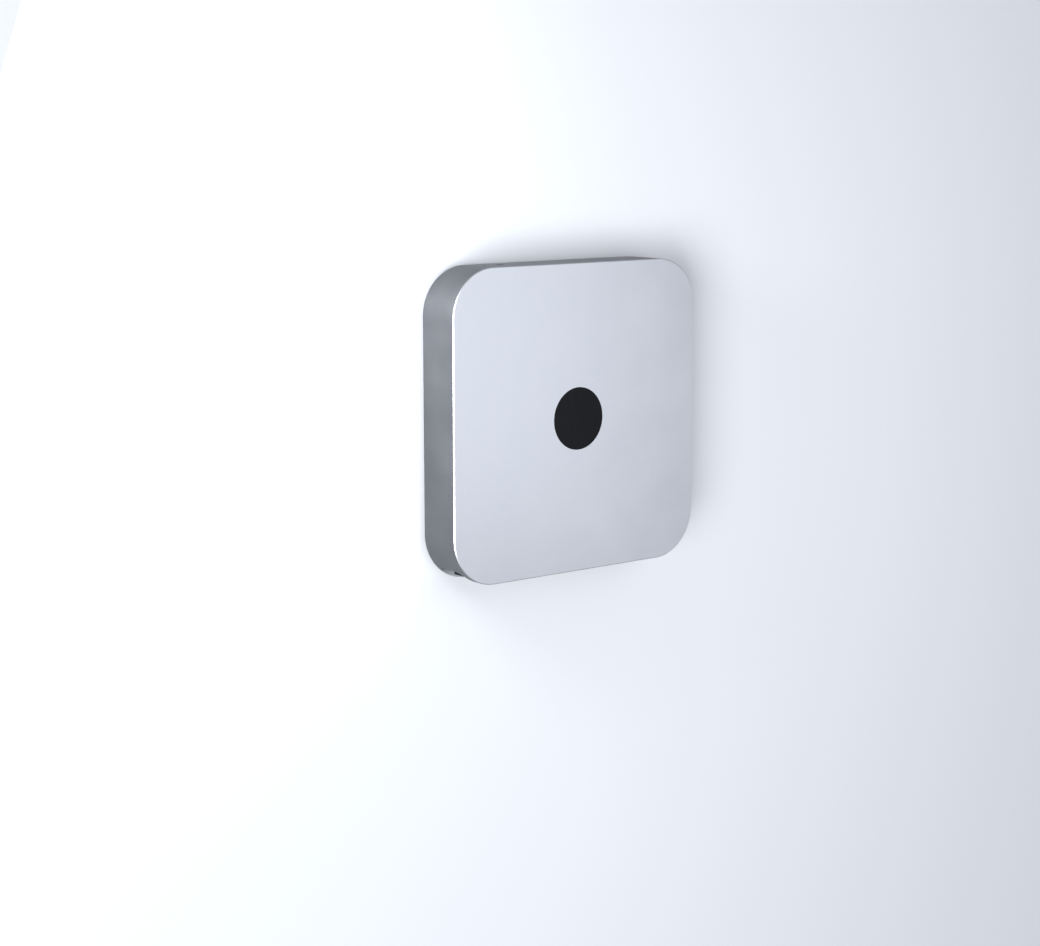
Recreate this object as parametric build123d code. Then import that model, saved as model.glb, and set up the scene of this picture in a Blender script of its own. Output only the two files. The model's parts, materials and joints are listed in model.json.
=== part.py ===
from build123d import *
import math
import os

# Slim square mini PC lying flat. Millimetres, +Z up, front towards -Y, ports towards +Y,
# origin on the table at the centre of the foot ring.

# --- shell -----------------------------------------------------------------
SIDE = 197.0  # width and depth
HEIGHT = 36.0  # table to top face
FOOT_GAP = 3.0  # table to the shell's underside
CORNER_R = 31.0
WALL = 3.0
TOP_T = 3.0
LIP_T = 2.5  # floor left around the round opening
BASE_ROUND_R = 3.0  # outer bottom edge
TOP_BEVEL = 0.5
OPENING_R = 82.0  # round opening in the underside

# --- general clearances and fasteners ----------------------------------------
FIT = 0.05  # pieces seated in each other
SEAT_GAP = 0.1  # neighbours that are only near each other
MOVE_GAP = 0.4  # between a moving piece and a fixed one
RUN_GAP = 0.05  # shaft in its bearing
CUT = 1.0  # how far a cutter passes a face
SCREW_R = 1.0
SCREW_HEAD_R = 2.2
SCREW_HEAD_T = 1.2
SCREW_KEY_R = 0.9  # hexagon socket
SCREW_KEY_DEPTH = 0.7
SCREW_LENGTH = 4.0
SCREW_PLAY = 0.3
BOSS_R = 3.0
EAR_R = 4.0

# --- top inlay, front lights -------------------------------------------------
INLAY_R = 20.0
INLAY_T = 1.2
INLAY_BEVEL = 0.15
LIGHT_X = 62.0
LIGHT_R = 0.9
REMOTE_X = 50.0
REMOTE_R = 2.6
LENS_FLANGE = 0.9
LENS_FLANGE_T = 0.8
SENSOR_BOARD_GAP = 2.3  # front wall to board
SENSOR_BOARD_T = 1.0
SENSOR_BOARD_W = 26.0
SENSOR_BOARD_H = 10.0
SENSOR_PAD_R = 2.0
SENSOR_PAD_INSET = 3.0  # pads from the board's ends
SENSOR_PAD_RISE = 3.0  # pads above and below the middle
SENSOR_BOARD_BEYOND = 6.0  # board past the status light
SENSOR_CHIP = 1.2  # half size of the chips behind the lenses

# --- bottom cover and foot ---------------------------------------------------
COVER_PLAY = 0.4  # cover plug in the opening
COVER_FLANGE = 4.0  # flange overlap under the shell, past the lug notches
COVER_UNDER_GAP = 0.3
COVER_Z = 1.2  # underside of the cover
COVER_T = 2.2
PLUG_T = 3.6
LUG_COUNT = 3
LUG_SWEEP = 14.0
LUG_REACH = 3.0
LUG_T = 1.5
NOTCH_MARGIN = 1.5  # degrees each side of a lug
COVER_TURN = 20.0  # degrees from shut to free
STOP_SWEEP = 3.0
STOP_MARGIN = 1.0
FOOT_RING_OUT_R = 78.0
FOOT_RING_WIDTH = 8.0
FOOT_SEAT = 0.7
THUMB_R = 56.0  # where the thumb hollows are
THUMB_LENGTH = 24.0
THUMB_WIDTH = 14.0
THUMB_DEPTH = 0.9
INDEX_DOT_R = 0.8
INDEX_DOT_DEPTH = 0.4
RIB_COUNT = 6
RIB_T = 1.2
RIB_H = 1.4

# --- rear window, panel and grille -------------------------------------------
WINDOW_SILL = 0.5  # window bottom above the lip
WINDOW_HEAD = 3.2  # window top below the ceiling
WINDOW_R = 5.5
WINDOW_RIGHT_ANGLE = 45.0  # where it ends in the right rear corner
WINDOW_LEFT_ANGLE = 26.0
PANEL_T = 1.5
PANEL_LAP = 1.5  # panel behind the wall round the window
PORT_RECESS = 0.5
PORT_PLAY = 0.3
SLOT_Z = 8.6  # bottom of the exhaust slot
SLOT_H = 3.0
GRILLE_PITCH = 4.0
GRILLE_SLAT = 0.8
GRILLE_RAIL = 0.5
GRILLE_DEPTH = 1.2
PANEL_INLET_R = 3.0  # corners of the inlet's hole

# --- power button ------------------------------------------------------------
BUTTON_ANGLE = 47.0  # round the left rear corner
BUTTON_R = 5.2
BUTTON_TRAVEL = 0.5
BUTTON_FLANGE = 1.0
BUTTON_FLANGE_T = 1.2
BUTTON_STEM_R = 1.5
BUTTON_STEM = 0.8
BUTTON_RIM = 0.5
SWITCH_SIZE = 5.0
SWITCH_T = 3.0
SWITCH_PLUNGER_R = 1.2
SWITCH_PLUNGER = 0.6
SWITCH_PLATE_T = 1.2

# --- logic board -------------------------------------------------------------
PORT_DUCT_GAP = 0.5  # exhaust duct to the ports over it
BOARD_T = 1.6
BOARD_REAR_GAP = 7.5
BOARD_LEFT_GAP = 14.5
BOARD_FRONT_GAP = 8.0
BOARD_CHAMFER = 12.0
BOARD_HOLE_PLAY = 0.4
BOARD_SUPPLY_GAP = 3.5
BOARD_SCREW_EDGE = 5.0  # left rear screw from the board's edges
BOARD_SCREW_BELOW = 8.0
BOARD_PORT_CLEAR = 4.0  # screws from ports and memory
BOARD_FRONT_INSET = 3.5
BOARD_FAN_CLEAR = 2.5
BOARD_DUCT_INSET = 3.0
BOARD_MODULE_CLEAR = 6.0
PROCESSOR_SIZE = 26.0
PROCESSOR_T = 1.2
PROCESSOR_DIE = 14.0
PROCESSOR_DIE_T = 0.8
CHIP_SIZES = (12.0, 9.0, 7.0)
CHIP_ROWS = 3
CHIP_STEP = 0.7  # each row is this much smaller, per side
CHIP_T = 1.4
CHIP_X = 17.0  # first chip from the blower's axis
CHIP_Y = 12.0
CHIP_PITCH_X = 16.0
CHIP_PITCH_Y = 17.0
CAN_R = 2.2
CAN_H = 4.0
CAN_X = 14.0  # first can from the memory's edge
CAN_PITCH = 7.0
CAN_Y = 6.5
COIL_SIZE = 3.6
COIL_H = 2.5
COIL_X = 4.8
COIL_PITCH = 4.4
COIL_Y = 4.0
SUPPLY_SOCKET_W = 5.0
SUPPLY_SOCKET_L = 8.0
SUPPLY_SOCKET_H = 4.0
SUPPLY_SOCKET_EDGE = 0.5
SUPPLY_SOCKET_WALL = 0.8
SUPPLY_SOCKET_ROOF = 1.0
SUPPLY_SOCKET_DEPTH = 2.5
SMALL_SOCKET_H = 2.5
SMALL_SOCKET_EDGE = 0.8
BLOWER_SOCKET_W = 8.0
BLOWER_SOCKET_L = 3.2
DRIVE_SOCKET_W = 12.0
DRIVE_SOCKET_L = 2.7
DRIVE_SOCKET_X = 12.0
CELL_R = 10.0
CELL_T = 3.2
CELL_HOLDER_SIZE = 24.0
CELL_HOLDER_T = 4.0
CELL_HOLDER_GAP = 0.5
CELL_ROOF = 0.4
CELL_BEVEL = 0.4
CELL_NOTCH_W = 10.0
CELL_NOTCH_LAP = 2.0

# --- memory ------------------------------------------------------------------
MODULE_L = 67.6
MODULE_W = 30.0
MODULE_T = 1.2
MODULE_DROPS = (3.0, 7.8)  # board to each module
MODULE_INSERT = 2.0
MODULE_CHIPS = 4
MODULE_CHIP_L = 12.0
MODULE_CHIP_W = 9.0
MODULE_CHIP_T = 0.9
MODULE_CHIP_SHIFT = 1.0  # chips off the module's middle, away from the socket
MODULE_FRONT_GAP = 2.5
SOCKET_BAR_W = 5.0
SOCKET_BAR_END = 2.5
SOCKET_DROP = 11.6
LATCH_L = 18.0
LATCH_T = 0.8
LATCH_H = 2.6
LATCH_HOOK_L = 4.0
LATCH_HOOK_REACH = 1.2
LATCH_HOOK_T = 0.8
LATCH_EYE_R = 1.7
LATCH_PIN_R = 0.7
LATCH_SIDE_GAP = 1.4
LATCH_PIN_SETBACK = 5.0
LATCH_PIN_TOP = 0.4  # pin's end below the board
LATCH_EYE_WALL = 0.5
LATCH_ARM_TRIM = 0.6  # socket's arms narrower than the eye's reach

# --- cooling -----------------------------------------------------------------
FAN_R = 29.0
FAN_TIP_GAP = 2.5
FAN_WALL = 1.2
FAN_Z = 9.0
FAN_H = 13.0
FAN_COVER_T = 1.0
FAN_INTAKE_R = 24.0
FAN_BLADES = 29
FAN_BLADE_T = 0.8
FAN_HUB_R = 11.0
FAN_HUB_WALL = 1.2
FAN_DISC_T = 0.8
FAN_STATOR_R = 9.2
FAN_SHAFT_R = 1.2
FAN_BLADE_ROOT = 13.0
FAN_BLADE_LEAN = 30.0
FAN_BLADE_CURVE = 18.0
FAN_GAP = 1.2
FAN_LEFT_GAP = 12.0
FAN_REAR_GAP = 29.0
FAN_OUTLET_L = 1.0
EAR_T = 1.4
FAN_EAR_REACH = 4.2  # ear screws outside the blower's wall
FAN_EAR_ANGLE = 49.4  # front ears, from the cross line
FAN_SIDE_EAR_REACH = 3.5
FAN_SIDE_EAR_Y = 18.0
DUCT_WALL = 0.8
DUCT_GAP = 0.3
DUCT_DEPTH = 13.5
DUCT_Z = 7.9
DUCT_TRAY_GAP = 25.5  # tray end from the left inner wall
DUCT_TRAY_H = 4.1
DUCT_TRAY_LAP = 2.0
DUCT_SUPPLY_GAP = 7.5
PIPE_W = 8.0
PIPE_T = 2.0
PIPE_BEND_R = 12.0
PIPE_PLATE_INSET = 2.0
PIPE_END_INSET = 4.0
FIN_T = 0.4
FIN_PITCH = 2.5
FIN_BASE_T = 0.8
FIN_DEPTH = 10.0
FIN_SIDE_GAP = 0.4
FIN_FRONT_GAP = 1.2
PLATE_W = 24.0
PLATE_T = 2.2
PLATE_SHIFT = 0.5  # off the middle between blower and memory
PLATE_REACH = 40.0  # from the memory's front end
PLATE_TAB_R = 2.6
PLATE_TAB_X = 9.0
PLATE_TAB_Y = 14.5
PASTE_T = 0.1

# --- hard drive --------------------------------------------------------------
DRIVE_L = 100.0
DRIVE_W = 69.9
DRIVE_H = 9.5
DRIVE_FRONT_GAP = 7.5
DRIVE_LEFT_GAP = 25.5
DRIVE_TOP_GAP = 1.0
DRIVE_FLOOR = 1.2
DRIVE_LID_T = 0.8
DRIVE_CORNER_R = 3.0
DRIVE_WALL = 3.0
DRIVE_END_WALL = 2.0
DRIVE_WELL_GAP = 12.0  # spindle to the head arm's well
DRIVE_RING_W = 2.0
DRIVE_RING_DEPTH = 0.25
PLATTER_R = 32.5
PLATTER_T = 0.8
PLATTER_GAP = 0.7
PLATTER_INSET = 34.5  # spindle from the drive's right end
SPINDLE_R = 8.0
SPINDLE_PIN_R = 2.0
ARM_L = 43.0
ARM_BLADE_T = 0.5
ARM_HUB_R = 6.0
ARM_TAIL = 12.0
ARM_PIVOT_DX = 45.5
ARM_PIVOT_DY = 15.0
ARM_REST_ANGLE = -61.7
ARM_TIP_W = 3.0
ARM_ROOT_W = 10.0
ARM_TAIL_TRIM = 1.0
BRACKET_T = 1.0
BRACKET_FOOT = 8.0
BRACKET_FRONT_INSET = 16.0
BRACKET_REAR_INSET = 6.0
BRACKET_SCREW_INSET = 6.0

# --- power supply ------------------------------------------------------------
SUPPLY_W = 35.5
SUPPLY_SIDE_GAP = 2.5
SUPPLY_END_GAP = 33.5
SUPPLY_REAR_GAP = 24.0
SUPPLY_Z = 9.5
SUPPLY_TOP_DROP = 2.0
SUPPLY_WALL = 1.0
SUPPLY_EAR_R = 3.5
SUPPLY_SCREW_OUT = 3.5  # screws outside the case's ends
SUPPLY_REAR_SCREW_X = 7.0
SUPPLY_FRONT_SCREW_X = 12.0
SUPPLY_LEFT_SCREW_X = 6.0
SUPPLY_VENT_W = 1.6
SUPPLY_VENT_PITCH = 5.0
SUPPLY_VENT_H = 8.0
SUPPLY_BOARD_RISE = 2.0
SUPPLY_BOARD_T = 1.6
TRANSFORMER_L = 26.0
TRANSFORMER_W = 22.0
TRANSFORMER_H = 14.0
TRANSFORMER_R = 2.0
BULK_CAP_R = 7.0
BULK_CAP_L = 26.0
BULK_CAP_GAP = 6.0
BULK_CAP_X = 6.0
SUPPLY_CANS = 3
SUPPLY_CAN_R = 4.0
SUPPLY_CAN_H = 12.0
SUPPLY_CAN_X = 9.0
SUPPLY_CAN_Y = 10.0
SUPPLY_CAN_PITCH = 12.0
SUPPLY_FIN_GAP = 5.0
SUPPLY_FIN_T = 1.5
SUPPLY_FIN_H = 13.0
LEAD_R = 0.8
LEAD_PITCH = 2.0
LEAD_ROW_INSET = 5.7
LEAD_DROP = 2.0
LEAD_PLUG = 2.5
BOARD_LEADS = 3

# --- antenna plate, wireless card, speaker -----------------------------------
ANTENNA_INSET = 6.0  # plate edge inside the opening
ANTENNA_Z = 8.0
ANTENNA_T = 1.0
ANTENNA_BOSS_INSET = 8.0
ANTENNA_HOLE_R = 2.4
ANTENNA_HOLE_PITCH = 7.5
ANTENNA_HOLE_COLUMNS = 9
ANTENNA_SOLID_EDGE = 10.0  # plain strip along the screws
ANTENNA_FAN_GAP = 0.5
SIDE_POST_GAP = 6.5  # drive to the plate's right-hand screws
CARD_W = 22.0
CARD_L = 30.0
CARD_T = 1.0
CARD_EDGE = 9.0  # card to the antenna plate's front
CARD_POST_GAP = 21.5  # card to the antenna plate's front post
CARD_SPACER = 2.0
CARD_SHIELD_T = 1.6
CARD_SHIELD_RIM = 2.0
CARD_SPACER_INSET = 2.0
CARD_SPACER_R = 1.5
SPEAKER_W = 20.0
SPEAKER_L = 22.0
SPEAKER_Z = 12.0
SPEAKER_TOP_DROP = 5.0
SPEAKER_CONE_R = 7.0
SPEAKER_CONE_DEPTH = 3.0
SPEAKER_SUPPLY_GAP = 3.5
SPEAKER_EDGE_R = 2.0
SPEAKER_EAR_R = 3.5
SPEAKER_EAR_LAP = 2.0
SPEAKER_SCREW_X = 4.0
SPEAKER_SCREW_OUT = 3.5

# --- ports, from the right (+X) end of the window ----------------------------
INLET_EDGE = 7.5  # window end to inlet body
INLET_W = 21.0
INLET_H = 13.0
INLET_BODY_L = 17.0
INLET_HOLE_R = 4.5
INLET_PIN_PITCH = 8.6
INLET_WAIST_H = 6.8
INLET_DEPTH = 12.0
INLET_PIN_R = 1.2
INLET_PIN_L = 16.5
INLET_PIN_SETBACK = 2.0
INLET_BODY_R = 2.7
INLET_DROP = 1.5  # inlet below the middle of the side
PORT_GAP = 1.8
JACK_W = 16.4
JACK_H = 13.4
JACK_L = 21.0
JACK_MOUTH_W = 11.8
JACK_MOUTH_H = 7.6
JACK_LATCH_W = 4.2
JACK_LATCH_H = 2.6
JACK_DEPTH = 15.0
JACK_CONTACTS = 8
JACK_CONTACT_PITCH = 1.02
JACK_CONTACT_T = 0.4
JACK_CONTACT_BACK = 1.0
JACK_CONTACT_SETBACK = 2.5
JACK_CONTACT_DROP = 0.6  # roof to the contacts
JACK_SIDE_GAP = 5.2  # inlet to jack
USB_H = 13.1
USB_W = 5.7
USB_L = 14.5
USB_SHELL_T = 0.3
USB_TONGUE_T = 1.8
USB_TONGUE_INSET = 1.0
USB_TONGUE_SIDE = 0.4
USB_TONGUE_END = 0.6
VIDEO_W = 15.0
VIDEO_H = 5.5
VIDEO_L = 12.0
VIDEO_SHELL_T = 0.4
VIDEO_TONGUE_T = 1.0
VIDEO_CORNER_CUT = 1.83
DISPLAY_W = 8.4
DISPLAY_H = 5.4
DISPLAY_CORNER_CUT = 1.35
PORT_BACK_T = 1.5
USB_GAP = 2.9
CARD_SLOT_W = 26.0
CARD_SLOT_H = 3.2
CARD_SLOT_L = 28.0
CARD_SLOT_GAP_H = 2.3
CARD_SLOT_SHELL = 0.6
AUDIO_W = 7.0
AUDIO_H = 7.0
AUDIO_L = 14.0
AUDIO_BORE_R = 1.8
AUDIO_BORE_L = 12.0
AUDIO_SLEEVE_R = 2.8
AUDIO_SLEEVE_L = 2.0
AUDIO_DROP = 2.0
AUDIO_SIDE_GAP = 1.4  # card slot to the nearer audio jack
AUDIO_GAP = 1.0
PANEL_SEAM = 0.05

# --- places worked out from the sizes above ----------------------------------
HALF = SIDE / 2
SHELL_Z = FOOT_GAP
CEILING = HEIGHT - TOP_T
INNER = HALF - WALL
INNER_R = CORNER_R - WALL
LIP_TOP = SHELL_Z + LIP_T
CORNER_C = HALF - CORNER_R  # centre of the corner rounds, in x and y
MID_Z = (SHELL_Z + HEIGHT) / 2
WINDOW_Z0 = LIP_TOP + WINDOW_SILL
WINDOW_Z1 = CEILING - WINDOW_HEAD
WINDOW_X1 = CORNER_C + CORNER_R * math.sin(math.radians(WINDOW_RIGHT_ANGLE))
WINDOW_X0 = -CORNER_C - CORNER_R * math.sin(math.radians(WINDOW_LEFT_ANGLE))
TRAY_Z1 = DUCT_Z + DUCT_TRAY_H
BOARD_Z0 = TRAY_Z1 + PORT_DUCT_GAP + max(USB_H, JACK_H) + SEAT_GAP
BOARD_Z1 = BOARD_Z0 + BOARD_T
PORT_TOP = BOARD_Z0 - SEAT_GAP
SUPPLY_X1 = INNER - SUPPLY_SIDE_GAP
SUPPLY_X0 = SUPPLY_X1 - SUPPLY_W
SUPPLY_Y0 = -INNER + SUPPLY_END_GAP
SUPPLY_Y1 = INNER - SUPPLY_REAR_GAP
SUPPLY_Z1 = CEILING - SUPPLY_TOP_DROP
DRIVE_X0 = -INNER + DRIVE_LEFT_GAP
DRIVE_X1 = DRIVE_X0 + DRIVE_L
DRIVE_Y0 = -INNER + DRIVE_FRONT_GAP
DRIVE_Y1 = DRIVE_Y0 + DRIVE_W
DRIVE_Z1 = CEILING - DRIVE_TOP_GAP
DRIVE_Z0 = DRIVE_Z1 - DRIVE_H
BRACKET_Y0 = DRIVE_Y0 + BRACKET_FRONT_INSET
BRACKET_Y1 = DRIVE_Y1 - BRACKET_REAR_INSET
BOARD_X0 = -INNER + BOARD_LEFT_GAP
BOARD_X1 = SUPPLY_X0 - BOARD_SUPPLY_GAP
BOARD_Y0 = DRIVE_Y1 + BOARD_FRONT_GAP
BOARD_Y1 = INNER - BOARD_REAR_GAP
FAN_CHAMBER_R = FAN_R + FAN_TIP_GAP
FAN_OUT_R = FAN_CHAMBER_R + FAN_WALL
FAN_X = -INNER + FAN_LEFT_GAP + FAN_OUT_R
FAN_Y1 = BOARD_Y1 - FAN_REAR_GAP
FAN_Y = FAN_Y1 - FAN_OUT_R - FAN_OUTLET_L
FAN_Z1 = FAN_Z + FAN_H
SOCKET_X1 = BOARD_X1 - SEAT_GAP
SOCKET_X0 = SOCKET_X1 - SOCKET_BAR_W
MODULE_X1 = SOCKET_X0 + MODULE_INSERT
MODULE_X0 = MODULE_X1 - MODULE_W
MODULE_Y0 = BOARD_Y0 + MODULE_FRONT_GAP
MODULE_Y1 = MODULE_Y0 + MODULE_L
SOCKET_Z0 = BOARD_Z0 - SOCKET_DROP
PLATE_X = (FAN_X + FAN_OUT_R + MODULE_X0) / 2 + PLATE_SHIFT
PLATE_Y = MODULE_Y0 + PLATE_REACH
PLATE_Z1 = BOARD_Z0 - PROCESSOR_T - PROCESSOR_DIE_T - PASTE_T
PLATE_Z0 = PLATE_Z1 - PLATE_T
PIPE_Z0 = PLATE_Z0 - PIPE_T
DUCT_Y0 = FAN_Y1 + DUCT_GAP
DUCT_Y1 = DUCT_Y0 + DUCT_DEPTH
DUCT_X0 = FAN_X - FAN_OUT_R
DUCT_X1 = FAN_X + FAN_OUT_R
DUCT_Z1 = PLATE_Z0 + DUCT_WALL
TRAY_X0 = -INNER + DUCT_TRAY_GAP
TRAY_X1 = SUPPLY_X0 - DUCT_SUPPLY_GAP
FIN_Y0 = DUCT_Y0 + FIN_FRONT_GAP
FIN_Y1 = FIN_Y0 + FIN_DEPTH
PIPE_Y = (FIN_Y0 + FIN_Y1) / 2
CELL_X = PLATE_X
CELL_Y = BOARD_Y0 + CELL_HOLDER_SIZE / 2 + CELL_HOLDER_GAP
ANTENNA_R = OPENING_R - ANTENNA_INSET
CARD_Y0 = CARD_EDGE - ANTENNA_R
CARD_Y1 = CARD_Y0 + CARD_W
POST_Y = DRIVE_Y1 + BOARD_FRONT_GAP / 2
SPEAKER_X1 = SUPPLY_X0 - SPEAKER_SUPPLY_GAP
SPEAKER_X0 = SPEAKER_X1 - SPEAKER_W
SPEAKER_Y0 = DRIVE_Y0
SPEAKER_Y1 = SPEAKER_Y0 + SPEAKER_L
SPEAKER_Z1 = CEILING - SPEAKER_TOP_DROP
SENSOR_Y1 = -INNER + SENSOR_BOARD_GAP
SENSOR_Y0 = SENSOR_Y1 + SENSOR_BOARD_T
SPINDLE_X = DRIVE_X1 - PLATTER_INSET
SPINDLE_Y = (DRIVE_Y0 + DRIVE_Y1) / 2
PIVOT_X = SPINDLE_X - ARM_PIVOT_DX
PIVOT_Y = SPINDLE_Y + ARM_PIVOT_DY
PLATTER_Z0 = (DRIVE_Z0 + DRIVE_Z1) / 2
INLET_X1 = WINDOW_X1 - INLET_EDGE
INLET_X = INLET_X1 - INLET_W / 2
INLET_Z0 = MID_Z - INLET_H / 2 - INLET_DROP
JACK_X = INLET_X1 - INLET_W - JACK_SIDE_GAP - JACK_W / 2
VIDEO_X = JACK_X - JACK_W / 2 - PORT_GAP - VIDEO_W / 2
DISPLAY_XS = [VIDEO_X - VIDEO_W / 2 - PORT_GAP - DISPLAY_W * (k + 0.5) - PORT_GAP * k for k in range(2)]
USB_PITCH = USB_W + USB_GAP
USB_XS = [DISPLAY_XS[1] - DISPLAY_W / 2 - USB_GAP - USB_W / 2 - USB_PITCH * k for k in range(4)]
CARD_SLOT_X = USB_XS[3] - USB_W / 2 - USB_GAP - CARD_SLOT_W / 2
AUDIO_X1 = CARD_SLOT_X - CARD_SLOT_W / 2 - AUDIO_SIDE_GAP
AUDIO_XS = [AUDIO_X1 - AUDIO_W * (k + 0.5) - AUDIO_GAP * k for k in range(2)]
LEFT_SEAM_X = (CARD_SLOT_X - CARD_SLOT_W / 2 + AUDIO_XS[0] + AUDIO_SLEEVE_R) / 2
RIGHT_SEAM_X = (JACK_X + JACK_W / 2 + INLET_X - INLET_W / 2) / 2


def outer_y(x, inset=0.0):
    """Rear face of the outline at x, moved inwards by inset."""
    beyond = max(abs(x) - CORNER_C, 0.0)
    return CORNER_C + math.sqrt((CORNER_R - inset) ** 2 - beyond**2)


PANEL_Y1 = INNER - SEAT_GAP
PORT_Y1 = PANEL_Y1 - PORT_RECESS
INLET_Y1 = outer_y(INLET_X1, WALL / 3)
AUDIO_Y1 = outer_y(AUDIO_XS[1] - AUDIO_SLEEVE_R, WALL) - PORT_RECESS
POST_X = math.sqrt((ANTENNA_R - ANTENNA_BOSS_INSET) ** 2 - POST_Y**2)
SIDE_POST_X = DRIVE_X1 + SIDE_POST_GAP
SIDE_POST_Y = -math.sqrt((ANTENNA_R - ANTENNA_BOSS_INSET) ** 2 - SIDE_POST_X**2)
CARD_X1 = SIDE_POST_X - CARD_POST_GAP
CARD_X0 = CARD_X1 - CARD_L
BOARD_SCREWS = [
    (BOARD_X0 + BOARD_SCREW_EDGE, BOARD_Y1 - BOARD_CHAMFER - BOARD_SCREW_BELOW),
    (DISPLAY_XS[1], PORT_Y1 - VIDEO_L - BOARD_PORT_CLEAR),
    (MODULE_X0 - BOARD_PORT_CLEAR, BOARD_Y0 + BOARD_FRONT_INSET),
    (FAN_X + FAN_OUT_R + BOARD_FAN_CLEAR, DUCT_Y0 + BOARD_DUCT_INSET),
    (MODULE_X0 + BOARD_MODULE_CLEAR, MODULE_Y1 + BOARD_MODULE_CLEAR),
]
FAN_EAR_DX = (FAN_OUT_R + FAN_EAR_REACH) * math.cos(math.radians(FAN_EAR_ANGLE))
FAN_EAR_DY = (FAN_OUT_R + FAN_EAR_REACH) * math.sin(math.radians(FAN_EAR_ANGLE))
FAN_SCREWS = [
    (FAN_X - FAN_EAR_DX, FAN_Y - FAN_EAR_DY),
    (FAN_X + FAN_EAR_DX, FAN_Y - FAN_EAR_DY),
    (FAN_X - FAN_OUT_R - FAN_SIDE_EAR_REACH, FAN_Y + FAN_SIDE_EAR_Y),
]
ANTENNA_SCREWS = [(-POST_X, POST_Y), (-POST_X / 4, POST_Y), (SIDE_POST_X, POST_Y), (SIDE_POST_X, SIDE_POST_Y)]
BRACKET_SCREWS = [
    (x, y)
    for x in (DRIVE_X0 - BRACKET_T - BRACKET_FOOT / 2, DRIVE_X1 + BRACKET_T + BRACKET_FOOT / 2)
    for y in (BRACKET_Y0 + BRACKET_SCREW_INSET, BRACKET_Y1 - BRACKET_SCREW_INSET)
]
SPEAKER_SCREWS = [(SPEAKER_X1 - SPEAKER_SCREW_X, SPEAKER_Y1 + SPEAKER_SCREW_OUT)]
SUPPLY_SCREWS = [
    (SUPPLY_X1 - SUPPLY_REAR_SCREW_X, SUPPLY_Y1 + SUPPLY_SCREW_OUT),
    (SUPPLY_X1 - SUPPLY_FRONT_SCREW_X, SUPPLY_Y0 - SUPPLY_SCREW_OUT),
    (SUPPLY_X0 + SUPPLY_LEFT_SCREW_X, SUPPLY_Y0 - SUPPLY_SCREW_OUT),
]
PLATE_SCREWS = [(PLATE_X + i * PLATE_TAB_X, PLATE_Y + j * PLATE_TAB_Y) for i in (-1, 1) for j in (-1, 1)]
PLATE_SCREW_LENGTH = BOARD_Z1 - PLATE_Z0
SENSOR_BOARD_X1 = LIGHT_X + SENSOR_BOARD_BEYOND
SENSOR_BOARD_X0 = SENSOR_BOARD_X1 - SENSOR_BOARD_W
SENSOR_PADS = [
    (SENSOR_BOARD_X0 + SENSOR_PAD_INSET, MID_Z - SENSOR_PAD_RISE),
    (SENSOR_BOARD_X1 - SENSOR_PAD_INSET, MID_Z + SENSOR_PAD_RISE),
]
LATCH_PIN_X = SOCKET_X0 - LATCH_PIN_SETBACK
LATCH_PIN_YS = (MODULE_Y0 - LATCH_SIDE_GAP, MODULE_Y1 + LATCH_SIDE_GAP)


# --- shared shapes -----------------------------------------------------------
def block(x0, x1, y0, y1, z0, z1):
    """Box between two corners."""
    return Pos((x0 + x1) / 2, (y0 + y1) / 2, (z0 + z1) / 2) * Box(x1 - x0, y1 - y0, z1 - z0)


def post(x, y, z0, z1, radius):
    """Upright round bar."""
    return Pos(x, y, (z0 + z1) / 2) * Cylinder(radius, z1 - z0)


def rounded_block(half, radius, z0, z1):
    """Square block on the axis with rounded upright corners."""
    return extrude(Pos(0, 0, z0) * RectangleRounded(2 * half, 2 * half, radius), z1 - z0)


def sector(r0, r1, start, sweep, z0, z1):
    """Part of a ring about the axis, from angle start through sweep degrees."""
    outer = CenterArc((0, 0), r1, start, sweep)
    inner = CenterArc((0, 0), r0, start, sweep)
    outline = make_face([outer, inner, Line(inner @ 0, outer @ 0), Line(inner @ 1, outer @ 1)])
    return extrude(Pos(0, 0, z0) * outline, z1 - z0)


def rearward(sketch, x, z, y0, y1):
    """Sketch drawn in X and Z, extruded from y0 to y1."""
    plane = Plane(origin=(x, y1, z), x_dir=(1, 0, 0), z_dir=(0, -1, 0))
    return extrude(plane * sketch, y1 - y0, dir=(0, -1, 0))


def corner_bar(z, r0, r1, radius):
    """Round bar along the power button's line, from r0 to r1 out of the corner centre."""
    angle = math.radians(BUTTON_ANGLE)
    line = Plane(origin=(-CORNER_C, CORNER_C, z), z_dir=(-math.sin(angle), math.cos(angle), 0))
    return line * Pos(0, 0, (r0 + r1) / 2) * Cylinder(radius, r1 - r0)


def screw(length=SCREW_LENGTH):
    """Socket screw at the origin: seat at z 0, head below, shank up."""
    body = post(0, 0, 0, length, SCREW_R) + post(0, 0, -SCREW_HEAD_T, 0, SCREW_HEAD_R)
    key = extrude(Pos(0, 0, -SCREW_HEAD_T) * RegularPolygon(SCREW_KEY_R, 6), SCREW_KEY_DEPTH)
    return body - key


def boss(x, y, z, top, radius=BOSS_R, plate=EAR_T):
    """Ceiling boss down to z, with a blind hole for a screw through a plate under it."""
    return post(x, y, z, top, radius) - boss_hole(x, y, z, plate)


def boss_hole(x, y, z, plate):
    """Hole of a boss whose mouth is at z."""
    return post(x, y, z - CUT, z + SCREW_LENGTH - plate + SCREW_PLAY, SCREW_R + FIT)


def screw_hole(x, y, z0, z1):
    """Clearance hole in a plate."""
    return post(x, y, z0 - CUT, z1 + CUT, SCREW_R + SCREW_PLAY)


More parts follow.
